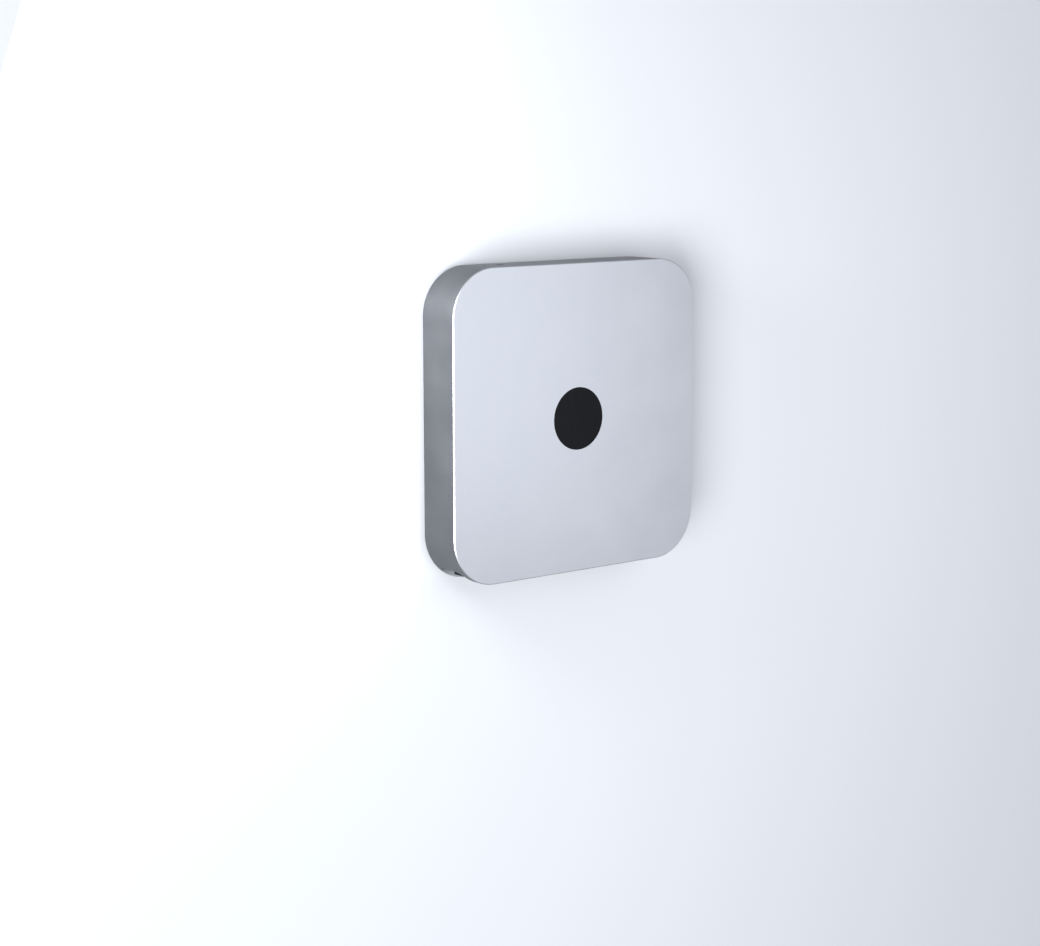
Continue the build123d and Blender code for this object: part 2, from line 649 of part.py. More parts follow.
# --- outside -----------------------------------------------------------------
def enclosure():
    """One-piece metal shell, open at the rear window and the round bottom opening."""
    shell = rounded_block(HALF, CORNER_R, SHELL_Z, HEIGHT)
    shell = fillet(shell.faces().sort_by(Axis.Z)[0].edges(), BASE_ROUND_R)
    shell = chamfer(shell.faces().sort_by(Axis.Z)[-1].edges(), TOP_BEVEL)
    shell -= rounded_block(INNER, INNER_R, LIP_TOP, CEILING)
    shell -= post(0, 0, SHELL_Z - CUT, LIP_TOP + CUT, OPENING_R)
    for k in range(LUG_COUNT):
        start = lug_angle(k) - COVER_TURN - NOTCH_MARGIN
        reach = OPENING_R + LUG_REACH + COVER_PLAY
        sweep = LUG_SWEEP + 2 * NOTCH_MARGIN
        shell -= sector(OPENING_R - CUT, reach, start, sweep, SHELL_Z - CUT, LIP_TOP + CUT)
        stop = lug_angle(k) + LUG_SWEEP + STOP_MARGIN
        stop_r = OPENING_R + LUG_REACH
        shell += sector(OPENING_R + SEAT_GAP, stop_r, stop, STOP_SWEEP, LIP_TOP, LIP_TOP + LUG_T)
    window = RectangleRounded(WINDOW_X1 - WINDOW_X0, WINDOW_Z1 - WINDOW_Z0, WINDOW_R)
    window_x = (WINDOW_X0 + WINDOW_X1) / 2
    window_z = (WINDOW_Z0 + WINDOW_Z1) / 2
    shell -= rearward(window, window_x, window_z, CORNER_C, HALF + CUT)
    shell -= corner_bar(MID_Z, INNER_R - CUT, CORNER_R + CUT, BUTTON_R + MOVE_GAP)
    shell -= rearward(Circle(LIGHT_R), LIGHT_X, MID_Z, -HALF - CUT, -INNER + CUT)
    shell -= rearward(Circle(REMOTE_R), REMOTE_X, MID_Z, -HALF - CUT, -INNER + CUT)
    shell -= post(0, 0, HEIGHT - INLAY_T, HEIGHT + CUT, INLAY_R)
    for x, y in BOARD_SCREWS:
        shell += boss(x, y, BOARD_Z1, CEILING, plate=BOARD_T)
    for x, y in FAN_SCREWS:
        shell += boss(x, y, FAN_Z1, CEILING)
    for x, y in ANTENNA_SCREWS:
        shell += boss(x, y, ANTENNA_Z + ANTENNA_T, CEILING, plate=ANTENNA_T)
    for x, y in SPEAKER_SCREWS:
        shell += boss(x, y, SPEAKER_Z1, CEILING)
    for x, y in SUPPLY_SCREWS:
        shell += post(x, y, SUPPLY_Z1, CEILING, BOSS_R)
        shell -= boss_hole(x, y, SUPPLY_Z1, EAR_T)
    for x, y in BRACKET_SCREWS:
        shell -= boss_hole(x, y, CEILING, SCREW_LENGTH / 2 + BRACKET_T / 2)
    return shell


def lug_angle(k):
    """Start angle of bayonet lug k with the cover shut."""
    return 90.0 + k * 360.0 / LUG_COUNT - LUG_SWEEP / 2


def top_inlay():
    """Plain gloss disc flush in the top face."""
    disc = post(0, 0, HEIGHT - INLAY_T, HEIGHT, INLAY_R - FIT)
    return chamfer(disc.faces().sort_by(Axis.Z)[-1].edges(), INLAY_BEVEL)


def bottom_cover():
    """Twist-off round cover with a plug rim, bayonet lugs and two thumb hollows."""
    plug_r = OPENING_R - COVER_PLAY
    flange_top = SHELL_Z - COVER_UNDER_GAP
    plug_top = LIP_TOP + COVER_UNDER_GAP + LUG_T
    cover = post(0, 0, COVER_Z, flange_top, OPENING_R + COVER_FLANGE)
    cover += post(0, 0, COVER_Z, plug_top, plug_r)
    floor = COVER_Z + COVER_T
    cover -= post(0, 0, floor, plug_top + CUT, plug_r - PLUG_T)
    for k in range(RIB_COUNT):
        rib = block(0, plug_r - PLUG_T / 2, -RIB_T / 2, RIB_T / 2, floor, floor + RIB_H)
        cover += Rot(0, 0, 360.0 * k / RIB_COUNT) * rib
    for k in range(LUG_COUNT):
        lug_r = OPENING_R + LUG_REACH
        cover += sector(plug_r - PLUG_T / 2, lug_r, lug_angle(k), LUG_SWEEP, plug_top - LUG_T, plug_top)
    groove = post(0, 0, COVER_Z - CUT, COVER_Z + FOOT_SEAT, FOOT_RING_OUT_R)
    groove -= post(0, 0, COVER_Z - CUT, COVER_Z + FOOT_SEAT, FOOT_RING_OUT_R - FOOT_RING_WIDTH)
    cover -= groove
    for side in (-1, 1):
        hollow = SlotOverall(THUMB_LENGTH, THUMB_WIDTH)
        cutter = extrude(Pos(side * THUMB_R, 0, COVER_Z) * Rot(0, 0, 90) * hollow, THUMB_DEPTH, taper=45)
        cover -= cutter
    for angle in (90, 90 - COVER_TURN):
        spot_r = FOOT_RING_OUT_R - FOOT_RING_WIDTH - 4 * INDEX_DOT_R
        spot = post(spot_r, 0, COVER_Z - CUT, COVER_Z + INDEX_DOT_DEPTH, INDEX_DOT_R)
        cover -= Rot(0, 0, angle) * spot
    return cover


def foot_ring():
    """Rubber ring that the computer stands on."""
    top = COVER_Z + FOOT_SEAT
    ring = post(0, 0, 0, top, FOOT_RING_OUT_R - FIT)
    ring -= post(0, 0, -CUT, top + CUT, FOOT_RING_OUT_R - FOOT_RING_WIDTH + FIT)
    return fillet(ring.faces().sort_by(Axis.Z)[0].edges(), FOOT_SEAT)


def panel_band(outset, inset, z0, z1):
    """Band that follows the inside of the shell between two insets."""
    band = rounded_block(INNER - outset, INNER_R - outset, z0, z1)
    return band - rounded_block(INNER - inset, INNER_R - inset, z0 - CUT, z1 + CUT)


def jack_profile(margin):
    """Mouth of the network jack with its stepped latch notch below."""
    mouth = Rectangle(JACK_MOUTH_W + 2 * margin, JACK_MOUTH_H + 2 * margin)
    notch = Pos(0, -JACK_MOUTH_H / 2) * Rectangle(JACK_LATCH_W + 2 * margin, 2 * JACK_LATCH_H)
    return mouth + notch


def video_profile(width, height, cut, margin):
    """Video port outline: square top, lower corners cut off."""
    half_w = width / 2 + margin
    half_h = height / 2 + margin
    return Polygon(
        (-half_w, half_h), (half_w, half_h), (half_w, -half_h + cut), (half_w - cut, -half_h),
        (-half_w + cut, -half_h), (-half_w, -half_h + cut), align=None,
    )


def port_center(height):
    """Centre height of a port that hangs under the board."""
    return PORT_TOP - height / 2


def rear_panel(x0, x1):
    """Dark plastic panel inside the rear window from x0 to x1, with port holes and the exhaust slot."""
    z0 = LIP_TOP + FIT
    z1 = WINDOW_Z1 + PANEL_LAP
    panel = panel_band(SEAT_GAP, SEAT_GAP + PANEL_T, z0, z1)
    panel &= block(x0, x1, CORNER_C, HALF, z0 - CUT, z1 + CUT)
    inlet_hole = RectangleRounded(INLET_W + 2 * PORT_PLAY, INLET_H + 2 * PORT_PLAY, PANEL_INLET_R)
    card_hole = Rectangle(CARD_SLOT_W + 2 * PORT_PLAY, CARD_SLOT_H + 2 * PORT_PLAY)
    display_hole = video_profile(DISPLAY_W, DISPLAY_H, DISPLAY_CORNER_CUT, PORT_PLAY)
    holes = [
        (inlet_hole, INLET_X, INLET_Z0 + INLET_H / 2),
        (Rectangle(JACK_W + 2 * PORT_PLAY, JACK_H + 2 * PORT_PLAY), JACK_X, port_center(JACK_H)),
        (video_profile(VIDEO_W, VIDEO_H, VIDEO_CORNER_CUT, PORT_PLAY), VIDEO_X, port_center(VIDEO_H)),
        (card_hole, CARD_SLOT_X, port_center(CARD_SLOT_H)),
        (Rectangle(TRAY_X1 - TRAY_X0 - 2 * DUCT_WALL, SLOT_H), (TRAY_X0 + TRAY_X1) / 2, SLOT_Z + SLOT_H / 2),
    ]
    holes += [(display_hole, x, port_center(DISPLAY_H)) for x in DISPLAY_XS]
    usb_hole = Rectangle(USB_W + 2 * PORT_PLAY, USB_H + 2 * PORT_PLAY)
    holes += [(usb_hole, x, port_center(USB_H)) for x in USB_XS]
    holes += [(Circle(AUDIO_SLEEVE_R + PORT_PLAY), x, port_center(AUDIO_H) - AUDIO_DROP) for x in AUDIO_XS]
    for profile, x, z in holes:
        panel -= rearward(profile, x, z, CORNER_C - CUT, HALF)
    notch_r = BUTTON_R + BUTTON_FLANGE + MOVE_GAP
    return panel - corner_bar(MID_Z, INNER_R - SEAT_GAP - 2 * PANEL_T, CORNER_R, notch_r)


def exhaust_grille():
    """Frame of slats in the exhaust slot."""
    y0 = INNER - SEAT_GAP - PANEL_T
    x0 = TRAY_X0 + DUCT_WALL + FIT
    x1 = TRAY_X1 - DUCT_WALL - FIT
    z0 = SLOT_Z + FIT
    z1 = SLOT_Z + SLOT_H - FIT
    grille = block(x0, x1, y0, y0 + GRILLE_DEPTH, z0, z1)
    count = int((x1 - x0 - GRILLE_SLAT) // GRILLE_PITCH)
    width = (x1 - x0 - GRILLE_SLAT) / count - GRILLE_SLAT
    for k in range(count):
        left = x0 + GRILLE_SLAT + k * (width + GRILLE_SLAT)
        grille -= block(left, left + width, y0 - CUT, y0 + PANEL_T + CUT, z0 + GRILLE_RAIL, z1 - GRILLE_RAIL)
    return grille


def power_button():
    """Round button in the left rear corner, domed like the corner, with a flange and a stem."""
    flange_r1 = math.sqrt(INNER_R**2 - (BUTTON_R + BUTTON_FLANGE) ** 2) - MOVE_GAP
    button = corner_bar(MID_Z, flange_r1 - BUTTON_FLANGE_T, CORNER_R + CUT, BUTTON_R)
    button &= Pos(-CORNER_C, CORNER_C, MID_Z) * Cylinder(CORNER_R, HEIGHT)
    button += corner_bar(MID_Z, flange_r1 - BUTTON_FLANGE_T, flange_r1, BUTTON_R + BUTTON_FLANGE)
    button += corner_bar(MID_Z, flange_r1 - BUTTON_FLANGE_T - BUTTON_STEM, flange_r1, BUTTON_STEM_R)
    groove = corner_bar(MID_Z, CORNER_R - BUTTON_RIM, CORNER_R + CUT, BUTTON_R - BUTTON_RIM)
    groove -= corner_bar(MID_Z, CORNER_R - BUTTON_RIM, CORNER_R + CUT, BUTTON_R - 2 * BUTTON_RIM)
    return button - groove


def switch_front():
    """Distance of the power switch's body from the corner centre, along the button's line."""
    flange_r1 = math.sqrt(INNER_R**2 - (BUTTON_R + BUTTON_FLANGE) ** 2) - MOVE_GAP
    stem_end = flange_r1 - BUTTON_FLANGE_T - BUTTON_STEM
    return stem_end - BUTTON_TRAVEL - MOVE_GAP - SWITCH_PLUNGER


def power_switch():
    """Push switch behind the button on a bracket that hangs from the ceiling."""
    front = switch_front()
    angle = math.radians(BUTTON_ANGLE)
    line = Plane(origin=(-CORNER_C, CORNER_C, MID_Z), x_dir=(math.cos(angle), math.sin(angle), 0),
                 z_dir=(-math.sin(angle), math.cos(angle), 0))
    body = line * Pos(0, 0, front - SWITCH_T / 2) * Box(SWITCH_SIZE, SWITCH_SIZE, SWITCH_T)
    hanger_h = CEILING - SEAT_GAP - MID_Z + SWITCH_SIZE / 2
    hanger_z = (CEILING - SEAT_GAP + MID_Z - SWITCH_SIZE / 2) / 2 - MID_Z
    side = -1 if (line * Pos(0, 1, 0)).position.Z < MID_Z else 1
    hanger = Pos(0, side * hanger_z, front - SWITCH_T - SWITCH_PLATE_T / 2)
    plate = line * hanger * Box(SWITCH_SIZE, hanger_h, SWITCH_PLATE_T)
    return body + plate + corner_bar(MID_Z, front - SWITCH_T / 2, front + SWITCH_PLUNGER, SWITCH_PLUNGER_R)


def front_lens(x, radius):
    """Light-guiding lens in a front hole, with a flange behind the wall."""
    lens = rearward(Circle(radius - FIT), x, MID_Z, -HALF, -INNER + SEAT_GAP)
    flange_y = -INNER + SEAT_GAP
    return lens + rearward(Circle(radius + LENS_FLANGE), x, MID_Z, flange_y, flange_y + LENS_FLANGE_T)


def front_sensor_board():
    """Small board behind the status light and the remote-control window, on two bonded pads."""
    z0 = MID_Z - SENSOR_BOARD_H / 2
    board = block(SENSOR_BOARD_X0, SENSOR_BOARD_X1, SENSOR_Y1, SENSOR_Y0, z0, z0 + SENSOR_BOARD_H)
    for x, z in SENSOR_PADS:
        board += rearward(Circle(SENSOR_PAD_R), x, z, -INNER + FIT, SENSOR_Y1)
    chip_y = -INNER + SEAT_GAP + LENS_FLANGE_T + SEAT_GAP
    half = SENSOR_CHIP
    for x in (LIGHT_X, REMOTE_X):
        board += block(x - half, x + half, chip_y, SENSOR_Y1, MID_Z - half, MID_Z + half)
    return board


# --- ports -------------------------------------------------------------------
def ac_inlet():
    """Two-pin mains inlet with a waisted socket."""
    z = INLET_Z0 + INLET_H / 2
    outline = RectangleRounded(INLET_W, INLET_H, INLET_BODY_R)
    body = rearward(outline, INLET_X, z, INLET_Y1 - INLET_BODY_L, INLET_Y1)
    socket = Rectangle(INLET_PIN_PITCH, INLET_WAIST_H)
    for side in (-1, 1):
        socket += Pos(side * INLET_PIN_PITCH / 2, 0) * Circle(INLET_HOLE_R)
    body -= rearward(socket, INLET_X, z, INLET_Y1 - INLET_DEPTH, INLET_Y1 + CUT)
    for side in (-1, 1):
        x = INLET_X + side * INLET_PIN_PITCH / 2
        body -= rearward(Circle(INLET_PIN_R + FIT), x, z, INLET_Y1 - INLET_BODY_L - CUT, INLET_Y1)
    return body


def ac_inlet_pins():
    """The inlet's two round-nosed pins."""
    z = INLET_Z0 + INLET_H / 2
    pins = []
    for side in (-1, 1):
        x = INLET_X + side * INLET_PIN_PITCH / 2
        y1 = INLET_Y1 - INLET_PIN_SETBACK
        pin = rearward(Circle(INLET_PIN_R), x, z, y1 - INLET_PIN_L, y1)
        pins.append(chamfer(pin.faces().sort_by(Axis.Y)[-1].edges(), INLET_PIN_R / 2))
    return Compound(children=pins)


def ethernet_jack():
    """Network jack with a stepped mouth."""
    z = port_center(JACK_H)
    body = rearward(Rectangle(JACK_W, JACK_H), JACK_X, z, PORT_Y1 - JACK_L, PORT_Y1)
    return body - rearward(jack_profile(0), JACK_X, z + JACK_LATCH_H / 2, PORT_Y1 - JACK_DEPTH, PORT_Y1 + CUT)


def ethernet_contacts():
    """Row of sprung contact wires along the roof of the network jack."""
    top = port_center(JACK_H) + JACK_LATCH_H / 2 + JACK_MOUTH_H / 2
    y0 = PORT_Y1 - JACK_DEPTH + JACK_CONTACT_BACK
    y1 = PORT_Y1 - JACK_CONTACT_SETBACK
    z1 = top - JACK_CONTACT_DROP
    wires = []
    for k in range(JACK_CONTACTS):
        x = JACK_X + (k - (JACK_CONTACTS - 1) / 2) * JACK_CONTACT_PITCH
        half = JACK_CONTACT_T / 2
        wires.append(block(x - half, x + half, y0, y1, z1 - JACK_CONTACT_T, z1))
    return Compound(children=wires)


def usb_ports():
    """Upright folded-metal port shells, open to the rear."""
    z = port_center(USB_H)
    outline = RectangleRounded(USB_W, USB_H, USB_SHELL_T * 2)
    inside = RectangleRounded(USB_W - 2 * USB_SHELL_T, USB_H - 2 * USB_SHELL_T, USB_SHELL_T)
    shells = []
    for x in USB_XS:
        shell = rearward(outline, x, z, PORT_Y1 - USB_L, PORT_Y1)
        shells.append(shell - rearward(inside, x, z, PORT_Y1 - USB_L + USB_SHELL_T, PORT_Y1 + CUT))
    return Compound(children=shells)


def display_port(x):
    """Small video port shell."""
    z = port_center(DISPLAY_H)
    outline = video_profile(DISPLAY_W, DISPLAY_H, DISPLAY_CORNER_CUT, 0)
    inside = video_profile(DISPLAY_W, DISPLAY_H, DISPLAY_CORNER_CUT, -VIDEO_SHELL_T)
    shell = rearward(outline, x, z, PORT_Y1 - VIDEO_L, PORT_Y1)
    return shell - rearward(inside, x, z, PORT_Y1 - VIDEO_L + VIDEO_SHELL_T, PORT_Y1 + CUT)


def hdmi_port():
    """Wide video port shell."""
    z = port_center(VIDEO_H)
    outline = video_profile(VIDEO_W, VIDEO_H, VIDEO_CORNER_CUT, 0)
    inside = video_profile(VIDEO_W, VIDEO_H, VIDEO_CORNER_CUT, -VIDEO_SHELL_T)
    shell = rearward(outline, VIDEO_X, z, PORT_Y1 - VIDEO_L, PORT_Y1)
    return shell - rearward(inside, VIDEO_X, z, PORT_Y1 - VIDEO_L + VIDEO_SHELL_T, PORT_Y1 + CUT)


def port_tongues():
    """Contact tongues of the USB and video ports, each with its back block."""
    tongues = []
    for x in USB_XS:
        z = port_center(USB_H)
        half_h = USB_H / 2 - USB_SHELL_T - SEAT_GAP
        half_w = USB_W / 2 - USB_SHELL_T - SEAT_GAP
        y0 = PORT_Y1 - USB_L + USB_SHELL_T + FIT
        back = block(x - half_w, x + half_w, y0, y0 + PORT_BACK_T, z - half_h, z + half_h)
        tip = PORT_Y1 - USB_TONGUE_INSET
        left = x - half_w + USB_TONGUE_SIDE
        blade_h = half_h - USB_TONGUE_END
        blade = block(left, left + USB_TONGUE_T, y0, tip, z - blade_h, z + blade_h)
        tongues.append(back + blade)
    for x, width, height in [(VIDEO_X, VIDEO_W, VIDEO_H)] + [(x, DISPLAY_W, DISPLAY_H) for x in DISPLAY_XS]:
        z = port_center(height)
        half_w = width / 2 - VIDEO_SHELL_T - height / 3 - FIT
        half_h = height / 2 - VIDEO_SHELL_T - FIT
        y0 = PORT_Y1 - VIDEO_L + VIDEO_SHELL_T + FIT
        back = block(x - half_w, x + half_w, y0, y0 + PORT_BACK_T, z - half_h, z + half_h)
        blade = block(x - half_w, x + half_w, y0, PORT_Y1 - USB_TONGUE_INSET, z, z + VIDEO_TONGUE_T)
        tongues.append(back + blade)
    return Compound(children=tongues)


def card_slot():
    """Thin folded cage for a memory card."""
    z = port_center(CARD_SLOT_H)
    cage = rearward(Rectangle(CARD_SLOT_W, CARD_SLOT_H), CARD_SLOT_X, z, PORT_Y1 - CARD_SLOT_L, PORT_Y1)
    inside = Rectangle(CARD_SLOT_W - 2 * CARD_SLOT_SHELL, CARD_SLOT_GAP_H)
    return cage - rearward(inside, CARD_SLOT_X, z, PORT_Y1 - CARD_SLOT_L + CARD_SLOT_SHELL, PORT_Y1 + CUT)


def audio_jack(x):
    """Jack for a small audio plug: body, sleeve and bore."""
    z = port_center(AUDIO_H)
    body_y1 = AUDIO_Y1 - AUDIO_SLEEVE_L
    outline = Rectangle(AUDIO_W, AUDIO_H + AUDIO_DROP)
    jack = rearward(outline, x, z - AUDIO_DROP / 2, body_y1 - AUDIO_L, body_y1)
    jack += rearward(Circle(AUDIO_SLEEVE_R), x, z - AUDIO_DROP, body_y1, AUDIO_Y1)
    return jack - rearward(Circle(AUDIO_BORE_R), x, z - AUDIO_DROP, AUDIO_Y1 - AUDIO_BORE_L, AUDIO_Y1 + CUT)


# --- logic board and what is on it -------------------------------------------
def logic_board():
    """Main circuit board, hung from the ceiling."""
    board = block(BOARD_X0, BOARD_X1, BOARD_Y0, BOARD_Y1, BOARD_Z0, BOARD_Z1)
    edges = board.edges().filter_by(Axis.Z).group_by(Axis.X)[0].sort_by(Axis.Y)
    board = chamfer(edges[-1], BOARD_CHAMFER)
    for x, y in BOARD_SCREWS:
        board -= screw_hole(x, y, BOARD_Z0, BOARD_Z1)
    for x, y in FAN_SCREWS:
        board -= post(x, y, BOARD_Z0 - CUT, BOARD_Z1 + CUT, BOSS_R + BOARD_HOLE_PLAY)
    for x, y in PLATE_SCREWS:
        board -= post(x, y, BOARD_Z0 - CUT, BOARD_Z1 + CUT, SCREW_R + FIT)
    return board


def processor_package():
    """Processor substrate with its die facing down to the cold plate."""
    half = PROCESSOR_SIZE / 2
    under = BOARD_Z0 - PROCESSOR_T
    package = block(PLATE_X - half, PLATE_X + half, PLATE_Y - half, PLATE_Y + half, under, BOARD_Z0)
    die = PROCESSOR_DIE / 2
    die_z0 = under - PROCESSOR_DIE_T
    return package + block(PLATE_X - die, PLATE_X + die, PLATE_Y - die, PLATE_Y + die, die_z0, under)


def board_chips():
    """Other chips, on the board's underside over the blower."""
    chips = []
    for k, size in enumerate(CHIP_SIZES):
        for row in range(CHIP_ROWS):
            x = FAN_X - CHIP_X + CHIP_PITCH_X * k
            y = FAN_Y - CHIP_Y + CHIP_PITCH_Y * row
            half = size / 2 - row * CHIP_STEP
            chips.append(block(x - half, x + half, y - half, y + half, BOARD_Z0 - CHIP_T, BOARD_Z0))
    return Compound(children=chips)


def board_capacitors():
    """Coils and capacitor cans beside the processor."""
    pieces = []
    for k in range(2):
        x = MODULE_X0 + CAN_X + CAN_PITCH * k
        pieces.append(post(x, MODULE_Y1 + CAN_Y, BOARD_Z0 - CAN_H, BOARD_Z0, CAN_R))
    half = COIL_SIZE / 2
    for k in range(2):
        x = PLATE_X + COIL_X + COIL_PITCH * k
        y = PIPE_Y + PIPE_W / 2 + COIL_Y
        pieces.append(block(x - half, x + half, y - half, y + half, BOARD_Z0 - COIL_H, BOARD_Z0))
    return Compound(children=pieces)


def board_connectors():
    """Supply, blower and drive connectors on the board's underside."""
    x1 = BOARD_X1 - SUPPLY_SOCKET_EDGE
    y0 = SUPPLY_Y1 - LEAD_ROW_INSET - LEAD_PITCH
    y1 = y0 + SUPPLY_SOCKET_L
    wall = SUPPLY_SOCKET_WALL
    z0 = BOARD_Z0 - SUPPLY_SOCKET_H
    supply = block(x1 - SUPPLY_SOCKET_W, x1, y0, y1, z0, BOARD_Z0)
    supply -= block(BOARD_X1 - SUPPLY_SOCKET_DEPTH, BOARD_X1, y0 + wall, y1 - wall,
                    z0 + SUPPLY_SOCKET_ROOF, BOARD_Z0 - SUPPLY_SOCKET_ROOF)
    edge = BOARD_Y0 + SMALL_SOCKET_EDGE
    bottom = BOARD_Z0 - SMALL_SOCKET_H
    half = BLOWER_SOCKET_W / 2
    blower = block(FAN_X - half, FAN_X + half, edge, edge + BLOWER_SOCKET_L, bottom, BOARD_Z0)
    x0 = BOARD_X0 + DRIVE_SOCKET_X
    drive = block(x0, x0 + DRIVE_SOCKET_W, edge, edge + DRIVE_SOCKET_L, bottom, BOARD_Z0)
    return Compound(children=[supply, blower, drive])


def coin_cell_holder():
    """Square holder with a round pocket, under the board."""
    half = CELL_HOLDER_SIZE / 2
    z0 = BOARD_Z0 - CELL_HOLDER_T
    holder = block(CELL_X - half, CELL_X + half, CELL_Y - half, CELL_Y + half, z0, BOARD_Z0)
    holder -= post(CELL_X, CELL_Y, z0 - CUT, BOARD_Z0 - CELL_ROOF, CELL_R + 2 * FIT)
    notch = CELL_NOTCH_W / 2
    notch_y1 = CELL_Y - CELL_R + CELL_NOTCH_LAP
    return holder - block(CELL_X - notch, CELL_X + notch, CELL_Y - half - CUT, notch_y1,
                          z0 - CUT, BOARD_Z0 - CELL_HOLDER_T / 2)


def coin_cell():
    """Round backup cell."""
    top = BOARD_Z0 - CELL_ROOF - FIT
    cell = post(CELL_X, CELL_Y, top - CELL_T, top, CELL_R)
    return chamfer(cell.faces().sort_by(Axis.Z)[0].edges(), CELL_BEVEL)


def module_z(k):
    """Underside of memory module k."""
    return BOARD_Z0 - MODULE_DROPS[k] - MODULE_T


def memory_socket():
    """Stacked double socket: slotted bar, end blocks and the pins that the latches turn on."""
    y0 = MODULE_Y0 - SOCKET_BAR_END
    y1 = MODULE_Y1 + SOCKET_BAR_END
    socket = block(SOCKET_X0, SOCKET_X1, y0, y1, SOCKET_Z0, BOARD_Z0)
    for k in range(2):
        z = module_z(k)
        socket -= block(SOCKET_X0 - CUT, MODULE_X1 + FIT, MODULE_Y0 - FIT, MODULE_Y1 + FIT,
                        z - FIT, z + MODULE_T + FIT)
    arm_r = LATCH_EYE_R - LATCH_ARM_TRIM
    for y in LATCH_PIN_YS:
        for z0, z1 in latch_arm_levels():
            socket += block(LATCH_PIN_X, SOCKET_X0, y - arm_r, y + arm_r, z0, z1)
            socket += post(LATCH_PIN_X, y, z0, z1, arm_r)
        socket += post(LATCH_PIN_X, y, SOCKET_Z0, BOARD_Z0 - LATCH_PIN_TOP, LATCH_PIN_R)
    return socket


def latch_z(k):
    """Lowest and highest level of the latches of module k."""
    z0 = module_z(k) - LATCH_HOOK_T - MOVE_GAP
    return z0, z0 + LATCH_H


def latch_arm_levels():
    """Levels of the socket's arms above, between and below the latches."""
    low = latch_z(1)
    high = latch_z(0)
    return [
        (SOCKET_Z0, low[0] - MOVE_GAP),
        (low[1] + MOVE_GAP, high[0] - MOVE_GAP),
        (high[1] + MOVE_GAP, BOARD_Z0 - LATCH_PIN_TOP),
    ]


def memory_module(k):
    """Memory module with chips on its lower face."""
    z = module_z(k)
    module = block(MODULE_X0, MODULE_X1, MODULE_Y0, MODULE_Y1, z, z + MODULE_T)
    pitch = MODULE_L / MODULE_CHIPS
    for n in range(MODULE_CHIPS):
        y = MODULE_Y0 + pitch * (n + 0.5)
        x = (MODULE_X0 + MODULE_X1) / 2 - MODULE_CHIP_SHIFT
        half_x = MODULE_CHIP_W / 2
        half_y = MODULE_CHIP_L / 2
        module += block(x - half_x, x + half_x, y - half_y, y + half_y, z - MODULE_CHIP_T, z)
    return module


def memory_latch(k, end):
    """Sprung side latch of module k: eye, blade and a hook under the module's edge."""
    y = LATCH_PIN_YS[end]
    inward = 1 if end == 0 else -1
    z0, z1 = latch_z(k)
    tip_x = LATCH_PIN_X - LATCH_L
    edges = sorted((y - inward * LATCH_T / 2, y + inward * LATCH_T / 2))
    latch = block(tip_x, LATCH_PIN_X, edges[0], edges[1], z0, z1)
    latch += post(LATCH_PIN_X, y, z0, z1, LATCH_PIN_R + RUN_GAP + LATCH_EYE_WALL)
    hook = sorted((y, y + inward * (LATCH_SIDE_GAP + LATCH_HOOK_REACH)))
    latch += block(tip_x, tip_x + LATCH_HOOK_L, hook[0], hook[1], z0, z0 + LATCH_HOOK_T)
    return latch - post(LATCH_PIN_X, y, z0 - CUT, z1 + CUT, LATCH_PIN_R + RUN_GAP)


# --- cooling -----------------------------------------------------------------
def fan_outline(radius):
    """Blower outline: round at the front, square towards the outlet."""
    outline = Pos(FAN_X, FAN_Y) * Circle(radius)
    return outline + Pos(FAN_X, (FAN_Y + FAN_Y1) / 2) * Rectangle(2 * radius, FAN_Y1 - FAN_Y)


def fan_housing():
    """Blower housing, open below and towards the outlet, with three ears and the motor's stator."""
    housing = extrude(Pos(0, 0, FAN_Z) * fan_outline(FAN_OUT_R), FAN_H)
    for x, y in FAN_SCREWS:
        housing += post(x, y, FAN_Z1 - EAR_T, FAN_Z1, EAR_R)
        inward = Vector(FAN_X - x, FAN_Y - y).normalized() * EAR_R
        housing += post(x + inward.X, y + inward.Y, FAN_Z1 - EAR_T, FAN_Z1, EAR_R)
    cavity = extrude(Pos(0, 0, FAN_Z - CUT) * fan_outline(FAN_CHAMBER_R), FAN_H - FAN_WALL + CUT)
    cavity += block(FAN_X - FAN_CHAMBER_R, FAN_X + FAN_CHAMBER_R, FAN_Y, FAN_Y1 + CUT,
                    FAN_Z - CUT, FAN_Z1 - FAN_WALL)
    housing -= cavity
    housing += post(FAN_X, FAN_Y, FAN_Z + 4 * FAN_GAP, FAN_Z1 - FAN_WALL, FAN_STATOR_R)
    housing -= post(FAN_X, FAN_Y, FAN_Z, FAN_Z1 - FAN_WALL / 2, FAN_SHAFT_R + RUN_GAP)
    for x, y in FAN_SCREWS:
        housing -= screw_hole(x, y, FAN_Z1 - EAR_T, FAN_Z1)
    return housing


def fan_cover():
    """Flat cover under the blower with the round intake."""
    cover = extrude(Pos(0, 0, FAN_Z - FAN_COVER_T) * fan_outline(FAN_OUT_R), FAN_COVER_T)
    return cover - post(FAN_X, FAN_Y, FAN_Z - FAN_COVER_T - CUT, FAN_Z + CUT, FAN_INTAKE_R)


